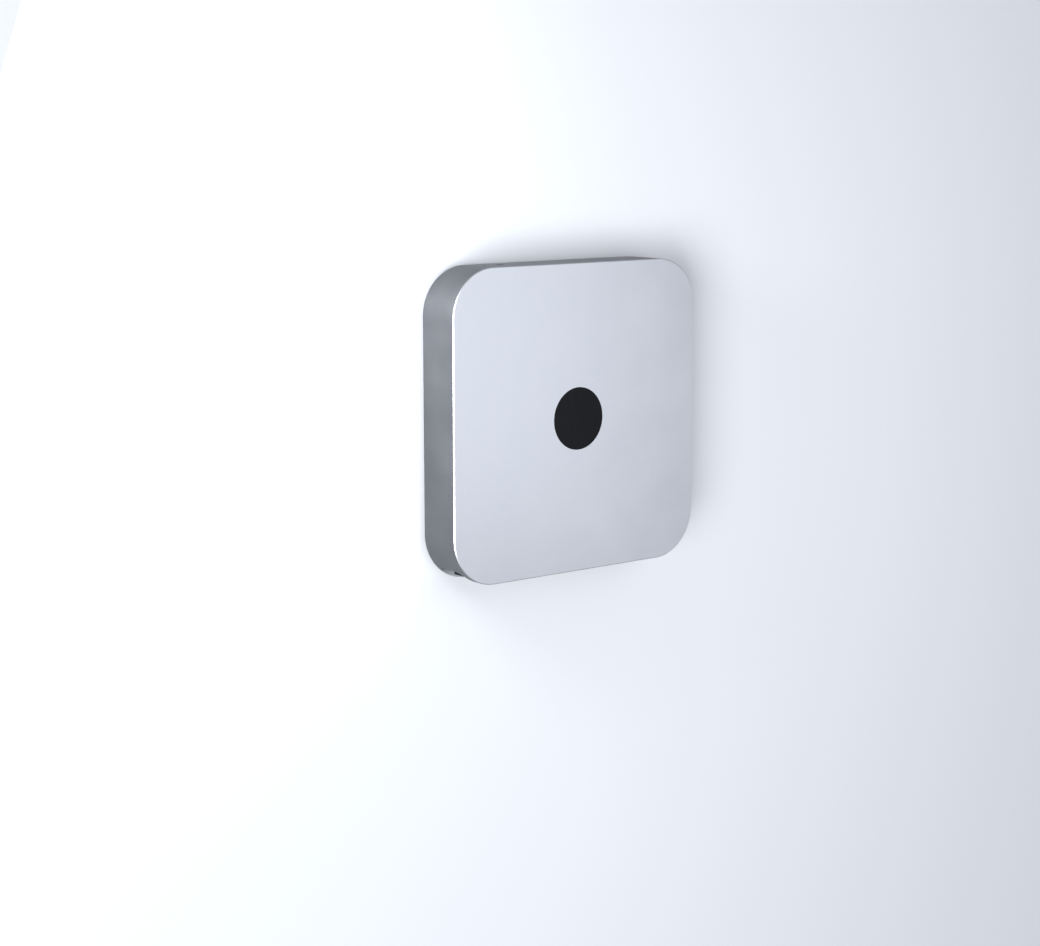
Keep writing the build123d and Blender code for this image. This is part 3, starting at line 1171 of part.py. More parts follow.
def fan_impeller():
    """Blower wheel: cup hub, shaft, back disc and curved blades."""
    z0 = FAN_Z + FAN_GAP
    z1 = FAN_Z1 - FAN_WALL - FAN_GAP
    hub = post(0, 0, z0, z1, FAN_HUB_R) - post(0, 0, z0 + FAN_HUB_WALL, z1 + CUT, FAN_HUB_R - FAN_HUB_WALL)
    shaft = post(0, 0, z0, z1, FAN_SHAFT_R)
    disc = post(0, 0, z1 - FAN_DISC_T, z1, FAN_R) - post(0, 0, z0, z1 + CUT, FAN_HUB_R - FAN_HUB_WALL)
    lean = math.radians(FAN_BLADE_LEAN)
    tip = ((FAN_R - FAN_BLADE_T) * math.cos(lean), (FAN_R - FAN_BLADE_T) * math.sin(lean))
    curve = RadiusArc((FAN_BLADE_ROOT, 0), tip, FAN_BLADE_CURVE)
    blade = extrude(Pos(0, 0, z0) * trace(curve, FAN_BLADE_T), z1 - z0 - FAN_DISC_T / 2)
    blades = [Rot(0, 0, 360.0 * k / FAN_BLADES) * blade for k in range(FAN_BLADES)]
    wheel = (hub + disc).fuse(*blades) + shaft
    return Pos(FAN_X, FAN_Y, 0) * wheel


def fan_duct():
    """Duct from the blower over the fins, then low under the ports to the rear slot."""
    rear = INNER - SEAT_GAP - PANEL_T - SEAT_GAP
    tray_y0 = DUCT_Y1 - DUCT_TRAY_LAP
    duct = block(DUCT_X0, DUCT_X1, DUCT_Y0, DUCT_Y1, DUCT_Z, DUCT_Z1)
    duct += block(TRAY_X0, TRAY_X1, tray_y0, rear, DUCT_Z, TRAY_Z1)
    inner = block(DUCT_X0 + DUCT_WALL, DUCT_X1 - DUCT_WALL, DUCT_Y0 - CUT, DUCT_Y1 - DUCT_WALL,
                  DUCT_Z + DUCT_WALL / 2, DUCT_Z1 - DUCT_WALL)
    tray = block(TRAY_X0 + DUCT_WALL, TRAY_X1 - DUCT_WALL, tray_y0 + DUCT_WALL, rear + CUT,
                 DUCT_Z + DUCT_WALL / 2, TRAY_Z1 - DUCT_WALL / 2)
    duct -= inner
    duct -= tray
    pass_x0 = max(DUCT_X0, TRAY_X0) + DUCT_WALL
    duct -= block(pass_x0, DUCT_X1 - DUCT_WALL, DUCT_Y1 - 2 * DUCT_WALL, DUCT_Y1 + CUT,
                  DUCT_Z + DUCT_WALL / 2, TRAY_Z1 - DUCT_WALL / 2)
    half = PIPE_W / 2 + SEAT_GAP
    return duct - block(DUCT_X1 - DUCT_WALL - CUT, DUCT_X1 + CUT, PIPE_Y - half, PIPE_Y + half,
                        PIPE_Z0 - SEAT_GAP, PLATE_Z0 + CUT)


def heat_pipe():
    """Flat heat pipe from the cold plate to the fins."""
    start = (PLATE_X, PLATE_Y - PLATE_W / 2 + PIPE_PLATE_INSET)
    end = (DUCT_X0 + PIPE_END_INSET, PIPE_Y)
    route = FilletPolyline(start, (PLATE_X, PIPE_Y), end, radius=PIPE_BEND_R)
    return extrude(Pos(0, 0, PIPE_Z0) * trace(route, PIPE_W), PIPE_T - FIT)


def heat_sink_fins():
    """Comb of thin fins under the heat pipe."""
    x0 = DUCT_X0 + DUCT_WALL + FIN_SIDE_GAP
    x1 = DUCT_X1 - DUCT_WALL - FIN_SIDE_GAP
    top = PIPE_Z0 - FIT
    fins = block(x0, x1, FIN_Y0, FIN_Y1, top - FIN_BASE_T, top)
    count = int((x1 - x0) // FIN_PITCH)
    for k in range(count + 1):
        left = x0 + k * (x1 - x0 - FIN_T) / count
        fins += block(left, left + FIN_T, FIN_Y0, FIN_Y1, DUCT_Z + 2 * DUCT_WALL, top - FIN_BASE_T / 2)
    return fins


def cold_plate():
    """Metal plate against the processor, with four screw tabs."""
    half = PLATE_W / 2
    plate = block(PLATE_X - half, PLATE_X + half, PLATE_Y - half, PLATE_Y + half, PLATE_Z0, PLATE_Z1)
    for x, y in PLATE_SCREWS:
        tab_y = sorted((y, PLATE_Y))
        plate += post(x, y, PLATE_Z0, PLATE_Z1, PLATE_TAB_R)
        plate += block(x - PLATE_TAB_R, x + PLATE_TAB_R, tab_y[0], tab_y[1], PLATE_Z0, PLATE_Z1)
    for x, y in PLATE_SCREWS:
        plate -= screw_hole(x, y, PLATE_Z0, PLATE_Z1)
    return plate


# --- drive -------------------------------------------------------------------
def drive_base():
    """Cast tub of the hard drive, with the spindle and pivot pins."""
    body = block(DRIVE_X0, DRIVE_X1, DRIVE_Y0, DRIVE_Y1, DRIVE_Z0, DRIVE_Z1 - DRIVE_LID_T)
    body = fillet(body.edges().filter_by(Axis.Z), DRIVE_CORNER_R)
    floor = DRIVE_Z0 + DRIVE_FLOOR
    top = DRIVE_Z1 - DRIVE_LID_T
    well = post(SPINDLE_X, SPINDLE_Y, floor, top + CUT, PLATTER_R + 2 * MOVE_GAP)
    well += block(DRIVE_X0 + DRIVE_END_WALL, SPINDLE_X - DRIVE_WELL_GAP,
                  DRIVE_Y0 + DRIVE_WALL, DRIVE_Y1 - DRIVE_WALL, floor, top + CUT)
    body -= well
    body += post(SPINDLE_X, SPINDLE_Y, floor - FIT, top - FIT, SPINDLE_PIN_R)
    return body + post(PIVOT_X, PIVOT_Y, floor - FIT, top - FIT, SPINDLE_PIN_R)


def drive_lid():
    """Flat lid of the hard drive with a shallow pressed ring over the platter."""
    lid = block(DRIVE_X0, DRIVE_X1, DRIVE_Y0, DRIVE_Y1, DRIVE_Z1 - DRIVE_LID_T + FIT, DRIVE_Z1)
    lid = fillet(lid.edges().filter_by(Axis.Z), DRIVE_CORNER_R)
    ring = post(SPINDLE_X, SPINDLE_Y, DRIVE_Z1 - DRIVE_RING_DEPTH, DRIVE_Z1 + CUT, PLATTER_R)
    return lid - (ring - post(SPINDLE_X, SPINDLE_Y, DRIVE_Z1 - CUT, DRIVE_Z1 + CUT, PLATTER_R - DRIVE_RING_W))


def drive_platter():
    """Disc on its hub."""
    disc = post(SPINDLE_X, SPINDLE_Y, PLATTER_Z0, PLATTER_Z0 + PLATTER_T, PLATTER_R)
    hub_z0 = DRIVE_Z0 + DRIVE_FLOOR + MOVE_GAP
    hub_z1 = DRIVE_Z1 - DRIVE_LID_T - MOVE_GAP
    disc += post(SPINDLE_X, SPINDLE_Y, hub_z0, hub_z1, SPINDLE_R)
    return disc - post(SPINDLE_X, SPINDLE_Y, hub_z0 - CUT, hub_z1 + CUT, SPINDLE_PIN_R + RUN_GAP)


def drive_head_arm():
    """Head arm: two blades astride the disc on a hub, and a tail for its coil."""
    hub_z0 = DRIVE_Z0 + DRIVE_FLOOR + MOVE_GAP
    hub_z1 = DRIVE_Z1 - DRIVE_LID_T - MOVE_GAP
    root = ARM_ROOT_W / 2
    tip = ARM_TIP_W / 2
    blade = Polygon((0, -root), (ARM_L, -tip), (ARM_L, tip), (0, root), align=None)
    low = PLATTER_Z0 - PLATTER_GAP - ARM_BLADE_T
    high = PLATTER_Z0 + PLATTER_T + PLATTER_GAP
    arm = post(0, 0, hub_z0, hub_z1, ARM_HUB_R)
    arm += extrude(Pos(0, 0, low) * blade, ARM_BLADE_T)
    arm += extrude(Pos(0, 0, high) * blade, ARM_BLADE_T)
    tail = ARM_HUB_R - ARM_TAIL_TRIM
    arm += block(-ARM_TAIL, 0, -tail, tail, PLATTER_Z0, PLATTER_Z0 + 2 * PLATTER_T)
    arm -= post(0, 0, hub_z0 - CUT, hub_z1 + CUT, SPINDLE_PIN_R + RUN_GAP)
    return Pos(PIVOT_X, PIVOT_Y, 0) * Rot(0, 0, ARM_REST_ANGLE) * arm


def drive_bracket():
    """Two folded side plates that hang the drive from the ceiling."""
    sides = []
    for side, x in ((-1, DRIVE_X0 - SEAT_GAP), (1, DRIVE_X1 + SEAT_GAP)):
        x_wall = sorted((x, x + side * BRACKET_T))
        x_foot = sorted((x, x + side * (BRACKET_T + BRACKET_FOOT)))
        top = CEILING - SEAT_GAP
        plate = block(x_wall[0], x_wall[1], BRACKET_Y0, BRACKET_Y1, DRIVE_Z0, top)
        plate += block(x_foot[0], x_foot[1], BRACKET_Y0, BRACKET_Y1, top - BRACKET_T, top)
        sides.append(plate)
    bracket = sides[0] + sides[1]
    for x, y in BRACKET_SCREWS:
        bracket -= screw_hole(x, y, CEILING - BRACKET_T, CEILING)
    for x, y in ANTENNA_SCREWS:
        bracket -= post(x, y, CEILING - 2 * BRACKET_FOOT, CEILING, BOSS_R + MOVE_GAP)
    return bracket


# --- power supply ------------------------------------------------------------
def power_supply_case():
    """Vented case of the power supply, with three ears under the ceiling."""
    case = block(SUPPLY_X0, SUPPLY_X1, SUPPLY_Y0, SUPPLY_Y1, SUPPLY_Z, SUPPLY_Z1)
    for x, y in SUPPLY_SCREWS:
        toward = SUPPLY_Y1 if y > 0 else SUPPLY_Y0
        low, high = sorted((y, toward))
        case += post(x, y, SUPPLY_Z1 - EAR_T, SUPPLY_Z1, SUPPLY_EAR_R)
        case += block(x - SUPPLY_EAR_R, x + SUPPLY_EAR_R, low - FIT, high + FIT, SUPPLY_Z1 - EAR_T, SUPPLY_Z1)
    wall = SUPPLY_WALL
    case -= block(SUPPLY_X0 + wall, SUPPLY_X1 - wall, SUPPLY_Y0 + wall, SUPPLY_Y1 - wall,
                  SUPPLY_Z + wall, SUPPLY_Z1 - wall)
    middle = (SUPPLY_Z + SUPPLY_Z1) / 2
    length = SUPPLY_Y1 - SUPPLY_Y0 - 2 * BULK_CAP_R - 2 * SUPPLY_VENT_PITCH
    vents = int(length // SUPPLY_VENT_PITCH)
    for k in range(vents):
        y = SUPPLY_Y0 + BULK_CAP_R + SUPPLY_VENT_PITCH * (k + 0.5)
        half = SUPPLY_VENT_W / 2
        case -= block(SUPPLY_X0 - CUT, SUPPLY_X0 + wall + CUT, y - half, y + half,
                      middle - SUPPLY_VENT_H / 2, middle + SUPPLY_VENT_H / 2)
    for x, y in SUPPLY_SCREWS:
        case -= screw_hole(x, y, SUPPLY_Z1 - EAR_T, SUPPLY_Z1)
    for x, z in lead_places():
        case -= rearward(Circle(LEAD_R + FIT), x, z, SUPPLY_Y1 - wall - CUT, SUPPLY_Y1 + CUT)
    return case


def power_supply_board():
    """Circuit board in the power supply."""
    wall = SUPPLY_WALL + SEAT_GAP
    z0 = SUPPLY_Z + SUPPLY_BOARD_RISE
    return block(SUPPLY_X0 + wall, SUPPLY_X1 - wall, SUPPLY_Y0 + wall, SUPPLY_Y1 - wall,
                 z0, z0 + SUPPLY_BOARD_T)


def power_supply_parts():
    """Transformer, bulk capacitor, smaller cans and heat spreaders on the supply's board."""
    z0 = SUPPLY_Z + SUPPLY_BOARD_RISE + SUPPLY_BOARD_T
    middle_x = (SUPPLY_X0 + SUPPLY_X1) / 2
    middle_y = (SUPPLY_Y0 + SUPPLY_Y1) / 2
    half_w = TRANSFORMER_W / 2
    half_l = TRANSFORMER_L / 2
    transformer = block(middle_x - half_w, middle_x + half_w, middle_y - half_l, middle_y + half_l,
                        z0, z0 + TRANSFORMER_H)
    transformer = fillet(transformer.edges().filter_by(Axis.Z), TRANSFORMER_R)
    bulk_y = middle_y + half_l + BULK_CAP_GAP
    bulk = rearward(Circle(BULK_CAP_R), middle_x - BULK_CAP_X, z0 + BULK_CAP_R, bulk_y, bulk_y + BULK_CAP_L)
    pieces = [transformer, bulk]
    for k in range(SUPPLY_CANS):
        y = SUPPLY_Y0 + SUPPLY_CAN_Y + SUPPLY_CAN_PITCH * k
        pieces.append(post(SUPPLY_X1 - SUPPLY_CAN_X, y, z0, z0 + SUPPLY_CAN_H, SUPPLY_CAN_R))
    fin_y0 = SUPPLY_Y0 + SUPPLY_FIN_GAP
    fin_y1 = middle_y - half_l - SUPPLY_FIN_GAP
    for x in (SUPPLY_X0 + SUPPLY_FIN_GAP, middle_x):
        pieces.append(block(x, x + SUPPLY_FIN_T, fin_y0, fin_y1, z0, z0 + SUPPLY_FIN_H))
    return Compound(children=pieces)


def lead_places():
    """Where the two mains leads pass the supply's rear wall, in x and z."""
    return [(INLET_X + side * INLET_PIN_PITCH / 2, INLET_Z0 + INLET_H / 2) for side in (-1, 1)]


def power_leads():
    """Two mains leads from the inlet pins and the low-voltage leads to the board."""
    leads = []
    pin_end = INLET_Y1 - INLET_PIN_SETBACK - INLET_PIN_L
    for x, z in lead_places():
        leads.append(rearward(Circle(LEAD_R), x, z, SUPPLY_Y1 - SUPPLY_WALL, pin_end))
    z = BOARD_Z0 - LEAD_DROP
    length = SUPPLY_X0 - BOARD_X1 + LEAD_PLUG
    for k in range(BOARD_LEADS):
        y = SUPPLY_Y1 - LEAD_ROW_INSET + LEAD_PITCH * k
        leads.append(Pos(SUPPLY_X0 - length / 2, y, z) * Rot(0, 90, 0) * Cylinder(LEAD_R, length))
    return Compound(children=leads)


# --- front half --------------------------------------------------------------
def antenna_plate():
    """Round-fronted plate under the drive, perforated in staggered rows."""
    plate = post(0, 0, ANTENNA_Z, ANTENNA_Z + ANTENNA_T, ANTENNA_R)
    rear = min(FAN_Y - FAN_OUT_R - ANTENNA_FAN_GAP, POST_Y + EAR_R)
    plate &= block(-ANTENNA_R, ANTENNA_R, -ANTENNA_R, rear, ANTENNA_Z - CUT, ANTENNA_Z + ANTENNA_T + CUT)
    first_y = POST_Y - ANTENNA_SOLID_EDGE
    rows = int((first_y - CARD_Y1) // ANTENNA_HOLE_PITCH)
    for row in range(rows):
        for column in range(ANTENNA_HOLE_COLUMNS - row % 2):
            x = (column - (ANTENNA_HOLE_COLUMNS - 1 - row % 2) / 2) * ANTENNA_HOLE_PITCH
            y = first_y - row * ANTENNA_HOLE_PITCH
            plate -= post(x, y, ANTENNA_Z - CUT, ANTENNA_Z + ANTENNA_T + CUT, ANTENNA_HOLE_R)
    for x, y in ANTENNA_SCREWS:
        plate -= screw_hole(x, y, ANTENNA_Z, ANTENNA_Z + ANTENNA_T)
    return plate


def wireless_card():
    """Small radio card with a shield can, on two spacers over the antenna plate."""
    z = ANTENNA_Z + ANTENNA_T + CARD_SPACER
    card = block(CARD_X0, CARD_X1, CARD_Y0, CARD_Y1, z, z + CARD_T)
    shield_z1 = z + CARD_T + CARD_SHIELD_T
    rim = CARD_SHIELD_RIM
    card += block(CARD_X0 + 2 * rim, CARD_X1 - rim, CARD_Y0 + rim, CARD_Y1 - rim, z + CARD_T, shield_z1)
    for x in (CARD_X0 + CARD_SPACER_INSET, CARD_X1 - CARD_SPACER_INSET):
        card += post(x, (CARD_Y0 + CARD_Y1) / 2, z - CARD_SPACER, z, CARD_SPACER_R)
    return card


def speaker_box():
    """Sealed speaker box with a dished cone facing down and one ear."""
    box = block(SPEAKER_X0, SPEAKER_X1, SPEAKER_Y0, SPEAKER_Y1, SPEAKER_Z, SPEAKER_Z1)
    box = fillet(box.edges().filter_by(Axis.Z), SPEAKER_EDGE_R)
    x = (SPEAKER_X0 + SPEAKER_X1) / 2
    y = (SPEAKER_Y0 + SPEAKER_Y1) / 2
    cone = Cone(SPEAKER_CONE_R, SPEAKER_CONE_R / 3, SPEAKER_CONE_DEPTH)
    box -= Pos(x, y, SPEAKER_Z + SPEAKER_CONE_DEPTH / 2) * cone
    for sx, sy in SPEAKER_SCREWS:
        ear_z0 = SPEAKER_Z1 - EAR_T
        box += post(sx, sy, ear_z0, SPEAKER_Z1, SPEAKER_EAR_R)
        ear_y0 = SPEAKER_Y1 - SPEAKER_EAR_LAP
        box += block(sx - SPEAKER_EAR_R, sx + SPEAKER_EAR_R, ear_y0, sy, ear_z0, SPEAKER_Z1)
        box -= screw_hole(sx, sy, SPEAKER_Z1 - EAR_T, SPEAKER_Z1)
    return box


def screws():
    """All the internal screws: seat heights differ by what each holds."""
    seats = [(x, y, BOARD_Z0) for x, y in BOARD_SCREWS]
    seats += [(x, y, FAN_Z1 - EAR_T) for x, y in FAN_SCREWS]
    seats += [(x, y, ANTENNA_Z) for x, y in ANTENNA_SCREWS]
    seats += [(x, y, SPEAKER_Z1 - EAR_T) for x, y in SPEAKER_SCREWS]
    seats += [(x, y, SUPPLY_Z1 - EAR_T) for x, y in SUPPLY_SCREWS]
    placed = [Pos(x, y, z) * screw() for x, y, z in seats]
    placed += [Pos(x, y, PLATE_Z0) * screw(PLATE_SCREW_LENGTH) for x, y in PLATE_SCREWS]
    placed += [Pos(x, y, CEILING - SEAT_GAP - BRACKET_T) * screw(SCREW_LENGTH / 2) for x, y in BRACKET_SCREWS]
    return Compound(children=placed)


def parts():
    """Every sub-part by node name."""
    made = {
        "enclosure": enclosure(),
        "top_inlay": top_inlay(),
        "bottom_cover": bottom_cover(),
        "foot_ring": foot_ring(),
        "io_panel": rear_panel(LEFT_SEAM_X + PANEL_SEAM / 2, RIGHT_SEAM_X - PANEL_SEAM / 2),
        "audio_end_panel": rear_panel(WINDOW_X0 - PANEL_LAP, LEFT_SEAM_X - PANEL_SEAM / 2),
        "inlet_end_panel": rear_panel(RIGHT_SEAM_X + PANEL_SEAM / 2, WINDOW_X1 + PANEL_LAP),
        "exhaust_grille": exhaust_grille(),
        "power_button": power_button(),
        "power_switch": power_switch(),
        "status_light_lens": front_lens(LIGHT_X, LIGHT_R),
        "remote_window": front_lens(REMOTE_X, REMOTE_R),
        "front_sensor_board": front_sensor_board(),
        "ac_inlet": ac_inlet(),
        "ac_inlet_pins": ac_inlet_pins(),
        "ethernet_jack": ethernet_jack(),
        "ethernet_contacts": ethernet_contacts(),
        "hdmi_port": hdmi_port(),
        "usb_ports": usb_ports(),
        "port_tongues": port_tongues(),
        "card_slot": card_slot(),
        "audio_in_jack": audio_jack(AUDIO_XS[0]),
        "audio_out_jack": audio_jack(AUDIO_XS[1]),
        "logic_board": logic_board(),
        "processor_package": processor_package(),
        "board_chips": board_chips(),
        "board_capacitors": board_capacitors(),
        "board_connectors": board_connectors(),
        "coin_cell_holder": coin_cell_holder(),
        "coin_cell": coin_cell(),
        "memory_socket": memory_socket(),
        "fan_housing": fan_housing(),
        "fan_cover": fan_cover(),
        "fan_impeller": fan_impeller(),
        "fan_duct": fan_duct(),
        "heat_pipe": heat_pipe(),
        "heat_sink_fins": heat_sink_fins(),
        "cold_plate": cold_plate(),
        "drive_base": drive_base(),
        "drive_lid": drive_lid(),
        "drive_platter": drive_platter(),
        "drive_head_arm": drive_head_arm(),
        "drive_bracket": drive_bracket(),
        "power_supply_case": power_supply_case(),
        "power_supply_board": power_supply_board(),
        "power_supply_parts": power_supply_parts(),
        "power_leads": power_leads(),
        "antenna_plate": antenna_plate(),
        "wireless_card": wireless_card(),
        "speaker_box": speaker_box(),
        "screws": screws(),
    }
    for k, x in enumerate(DISPLAY_XS):
        made[f"display_port_{k + 1}"] = display_port(x)
    for k in range(2):
        made[f"memory_module_{k + 1}"] = memory_module(k)
        for end, name in enumerate(("front", "rear")):
            made[f"memory_latch_{name}_{k + 1}"] = memory_latch(k, end)
    return made


os.makedirs("parts", exist_ok=True)
for node, shape in parts().items():
    export_step(shape, f"parts/{node}.step")
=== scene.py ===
import json
import math
import random
import bmesh
import bpy
from mathutils import Matrix, Vector


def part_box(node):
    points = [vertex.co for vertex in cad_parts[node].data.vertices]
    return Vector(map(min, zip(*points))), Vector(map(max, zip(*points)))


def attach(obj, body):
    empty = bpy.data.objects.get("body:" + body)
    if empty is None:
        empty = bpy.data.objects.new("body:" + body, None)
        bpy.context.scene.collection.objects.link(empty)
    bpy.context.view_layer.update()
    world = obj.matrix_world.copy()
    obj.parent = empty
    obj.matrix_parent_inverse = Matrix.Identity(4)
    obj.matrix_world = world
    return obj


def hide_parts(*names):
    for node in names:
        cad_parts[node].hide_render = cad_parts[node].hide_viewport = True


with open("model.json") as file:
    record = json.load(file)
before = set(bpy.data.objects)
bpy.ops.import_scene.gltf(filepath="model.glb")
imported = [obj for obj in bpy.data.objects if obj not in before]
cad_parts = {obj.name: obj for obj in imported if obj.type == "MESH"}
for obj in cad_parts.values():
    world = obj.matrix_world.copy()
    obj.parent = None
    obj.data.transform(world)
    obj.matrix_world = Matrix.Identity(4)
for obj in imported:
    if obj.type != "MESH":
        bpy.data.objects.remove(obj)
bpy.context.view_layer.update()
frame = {"nodes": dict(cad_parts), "record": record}

node = frame["nodes"]

# Camera. It looks at the flat-lying computer from above its right side, rolled so that
# the ports point down in the picture, as when the computer stands on its rear edge.
CAMERA_PLACE = Vector((0.87242, -0.18522, 1.08036))
CAMERA_AIM = Vector((-0.61196, 0.15981, -0.77458))
CAMERA_UP = Vector((-0.09998, -0.98715, -0.12468))
camera_data = bpy.data.cameras.new("camera")
camera_data.lens = 74.9
camera_data.sensor_width = 36.0
camera_data.sensor_fit = "HORIZONTAL"
camera_data.clip_start = 0.01
camera = bpy.data.objects.new("camera", camera_data)
bpy.context.scene.collection.objects.link(camera)
camera_back = -CAMERA_AIM.normalized()
camera_right = CAMERA_UP.cross(camera_back).normalized()
camera_up = camera_back.cross(camera_right)
turned = Matrix((camera_right, camera_up, camera_back)).transposed()
camera.matrix_world = Matrix.Translation(CAMERA_PLACE) @ turned.to_4x4()
bpy.context.scene.camera = camera

# Studio. A wide pale floor that the metal doesn't mirror, a soft key light on the right,
# a small overhead panel that shades off across the top, and a sky that darkens below.
FLOOR_SIZE = 12.0
KEY_PLACE = Vector((1.75, 0.35, 1.45))
KEY_SIZE = 1.1
KEY_POWER = 46.0
PANEL_PLACE = Vector((-0.17, -0.01, 0.52))
PANEL_TARGET = Vector((0.1, 0.0, 0.0))
PANEL_SIZE = 0.44
PANEL_POWER = 0.48
SIDE_PLACE = Vector((0.36, -0.18, 0.08))
SIDE_TARGET = Vector((0.1, -0.09, 0.02))
SIDE_SIZE = 0.15
SIDE_POWER = 1.2
LIGHT_TINT = (0.90, 0.94, 1.0)
SKY_TINT = (0.86, 0.90, 1.0, 1)
SKY_ABOVE = 0.47
SKY_BELOW = 0.18
SKY_SEEN = 0.62
SKY_SEEN_TINT = (0.95, 0.96, 1.0, 1)
SKY_LOW, SKY_HIGH = -0.35, 0.15
FLOOR_TINT = (0.88, 0.88, 0.88, 1)
FLOOR_ROUGH = 0.9
bpy.context.scene.view_settings.view_transform = "Standard"


def blank_material(name):
    """A material with one plain shader: the material, its node tree and the shader."""
    material = bpy.data.materials.new(name)
    material.use_nodes = True
    tree = material.node_tree
    return material, tree, tree.nodes["Principled BSDF"]


def area_light(name, place, size, power, target=Vector((0, 0, 0))):
    """Soft square light that faces a target and isn't itself seen."""
    data = bpy.data.lights.new(name, "AREA")
    data.shape = "SQUARE"
    data.size = size
    data.energy = power
    data.color = LIGHT_TINT
    lamp = bpy.data.objects.new(name, data)
    lamp.location = place
    lamp.rotation_euler = (target - place).to_track_quat("-Z", "Y").to_euler()
    lamp.visible_camera = False
    bpy.context.scene.collection.objects.link(lamp)


bpy.ops.object.select_all(action="DESELECT")
bpy.ops.mesh.primitive_plane_add(size=FLOOR_SIZE)
floor = bpy.context.object
floor.name = "studio_floor"
floor.visible_glossy = False
paint, paint_tree, paint_shader = blank_material("studio_paint")
paint_shader.inputs["Base Color"].default_value = FLOOR_TINT
paint_shader.inputs["Roughness"].default_value = FLOOR_ROUGH
clear = paint_tree.nodes.new("ShaderNodeBsdfTransparent")
side = paint_tree.nodes.new("ShaderNodeNewGeometry")
either = paint_tree.nodes.new("ShaderNodeMixShader")
paint_tree.links.new(side.outputs["Backfacing"], either.inputs["Fac"])
paint_tree.links.new(paint_shader.outputs["BSDF"], either.inputs[1])
paint_tree.links.new(clear.outputs["BSDF"], either.inputs[2])
paint_tree.links.new(either.outputs["Shader"], paint_tree.nodes["Material Output"].inputs["Surface"])
floor.data.materials.append(paint)
area_light("key_light", KEY_PLACE, KEY_SIZE, KEY_POWER)
area_light("overhead_panel", PANEL_PLACE, PANEL_SIZE, PANEL_POWER, PANEL_TARGET)
area_light("side_light", SIDE_PLACE, SIDE_SIZE, SIDE_POWER, SIDE_TARGET)
surround = bpy.data.worlds.new("studio_surround")
bpy.context.scene.world = surround
surround.use_nodes = True
sky = surround.node_tree
sky_way = sky.nodes.new("ShaderNodeTexCoord")
sky_height = sky.nodes.new("ShaderNodeSeparateXYZ")
sky_level = sky.nodes.new("ShaderNodeMapRange")
sky_level.inputs["From Min"].default_value = SKY_LOW
sky_level.inputs["From Max"].default_value = SKY_HIGH
sky_level.inputs["To Min"].default_value = SKY_BELOW
sky_level.inputs["To Max"].default_value = SKY_ABOVE
sky.links.new(sky_way.outputs["Generated"], sky_height.inputs["Vector"])
sky.links.new(sky_height.outputs["Z"], sky_level.inputs["Value"])
lit = sky.nodes["Background"]
lit.inputs["Color"].default_value = SKY_TINT
sky.links.new(sky_level.outputs["Result"], lit.inputs["Strength"])
seen = sky.nodes.new("ShaderNodeBackground")
seen.inputs["Color"].default_value = SKY_SEEN_TINT
seen.inputs["Strength"].default_value = SKY_SEEN
ray = sky.nodes.new("ShaderNodeLightPath")
sky_mix = sky.nodes.new("ShaderNodeMixShader")
sky.links.new(ray.outputs["Is Camera Ray"], sky_mix.inputs["Fac"])
sky.links.new(lit.outputs["Background"], sky_mix.inputs[1])
sky.links.new(seen.outputs["Background"], sky_mix.inputs[2])
sky.links.new(sky_mix.outputs["Shader"], sky.nodes["World Output"].inputs["Surface"])

# Shell. One block of aluminium, milled out from below and behind, then bead blasted and
# clear anodised. The blasting leaves a fine even grain with a faint cloudiness, and a
# cutter has left a thin bright bevel all round the top edge.
SHELL_GRAIN = 0.00035
FINE_SHARE = 0.65
COARSE_SCALE = 0.3
SHELL_DARK = (0.77, 0.785, 0.81)
SHELL_LIGHT = (0.86, 0.87, 0.89)
BEVEL_BAND = 0.0006
BEVEL_ROUGH = 0.38
BEVEL_TINT = (0.90, 0.905, 0.92)
BEVEL_LEAN = 0.93


def value_group(name, inputs, outputs):
    """An empty node group with a vector, named value inputs (name, default) and value outputs."""
    group = bpy.data.node_groups.new(name, "ShaderNodeTree")
    group.interface.new_socket("Vector", in_out="INPUT", socket_type="NodeSocketVector")
    for label, value in inputs:
        socket = group.interface.new_socket(label, in_out="INPUT", socket_type="NodeSocketFloat")
        socket.default_value = value
    for label in outputs:
        group.interface.new_socket(label, in_out="OUTPUT", socket_type="NodeSocketFloat")
    return group, group.nodes.new("NodeGroupInput"), group.nodes.new("NodeGroupOutput")


def feed(tree, socket, value):
    """Sets a socket to a number, or links another socket to it."""
    if isinstance(value, (int, float)):
        socket.default_value = value
    else:
        tree.links.new(value, socket)


def noise_node(tree, vector, scale, detail):
    """A noise texture on a vector socket, with its scale from a number or a socket."""
    noise = tree.nodes.new("ShaderNodeTexNoise")
    noise.inputs["Detail"].default_value = detail
    tree.links.new(vector, noise.inputs["Vector"])
    feed(tree, noise.inputs["Scale"], scale)
    return noise.outputs["Fac"]


def math_node(tree, kind, first, second=0.0):
    """A math node on sockets or numbers."""
    step = tree.nodes.new("ShaderNodeMath")
    step.operation = kind
    feed(tree, step.inputs[0], first)
    feed(tree, step.inputs[1], second)
    return step.outputs["Value"]


def spread(tree, value, low, high, start=0.3, end=0.7):
    """Maps a value's range, by default the middle of a noise, to another range."""
    ranged = tree.nodes.new("ShaderNodeMapRange")
    ranged.inputs["From Min"].default_value = start
    ranged.inputs["From Max"].default_value = end
    ranged.inputs["To Min"].default_value = low
    ranged.inputs["To Max"].default_value = high
    tree.links.new(value, ranged.inputs["Value"])
    return ranged.outputs["Result"]


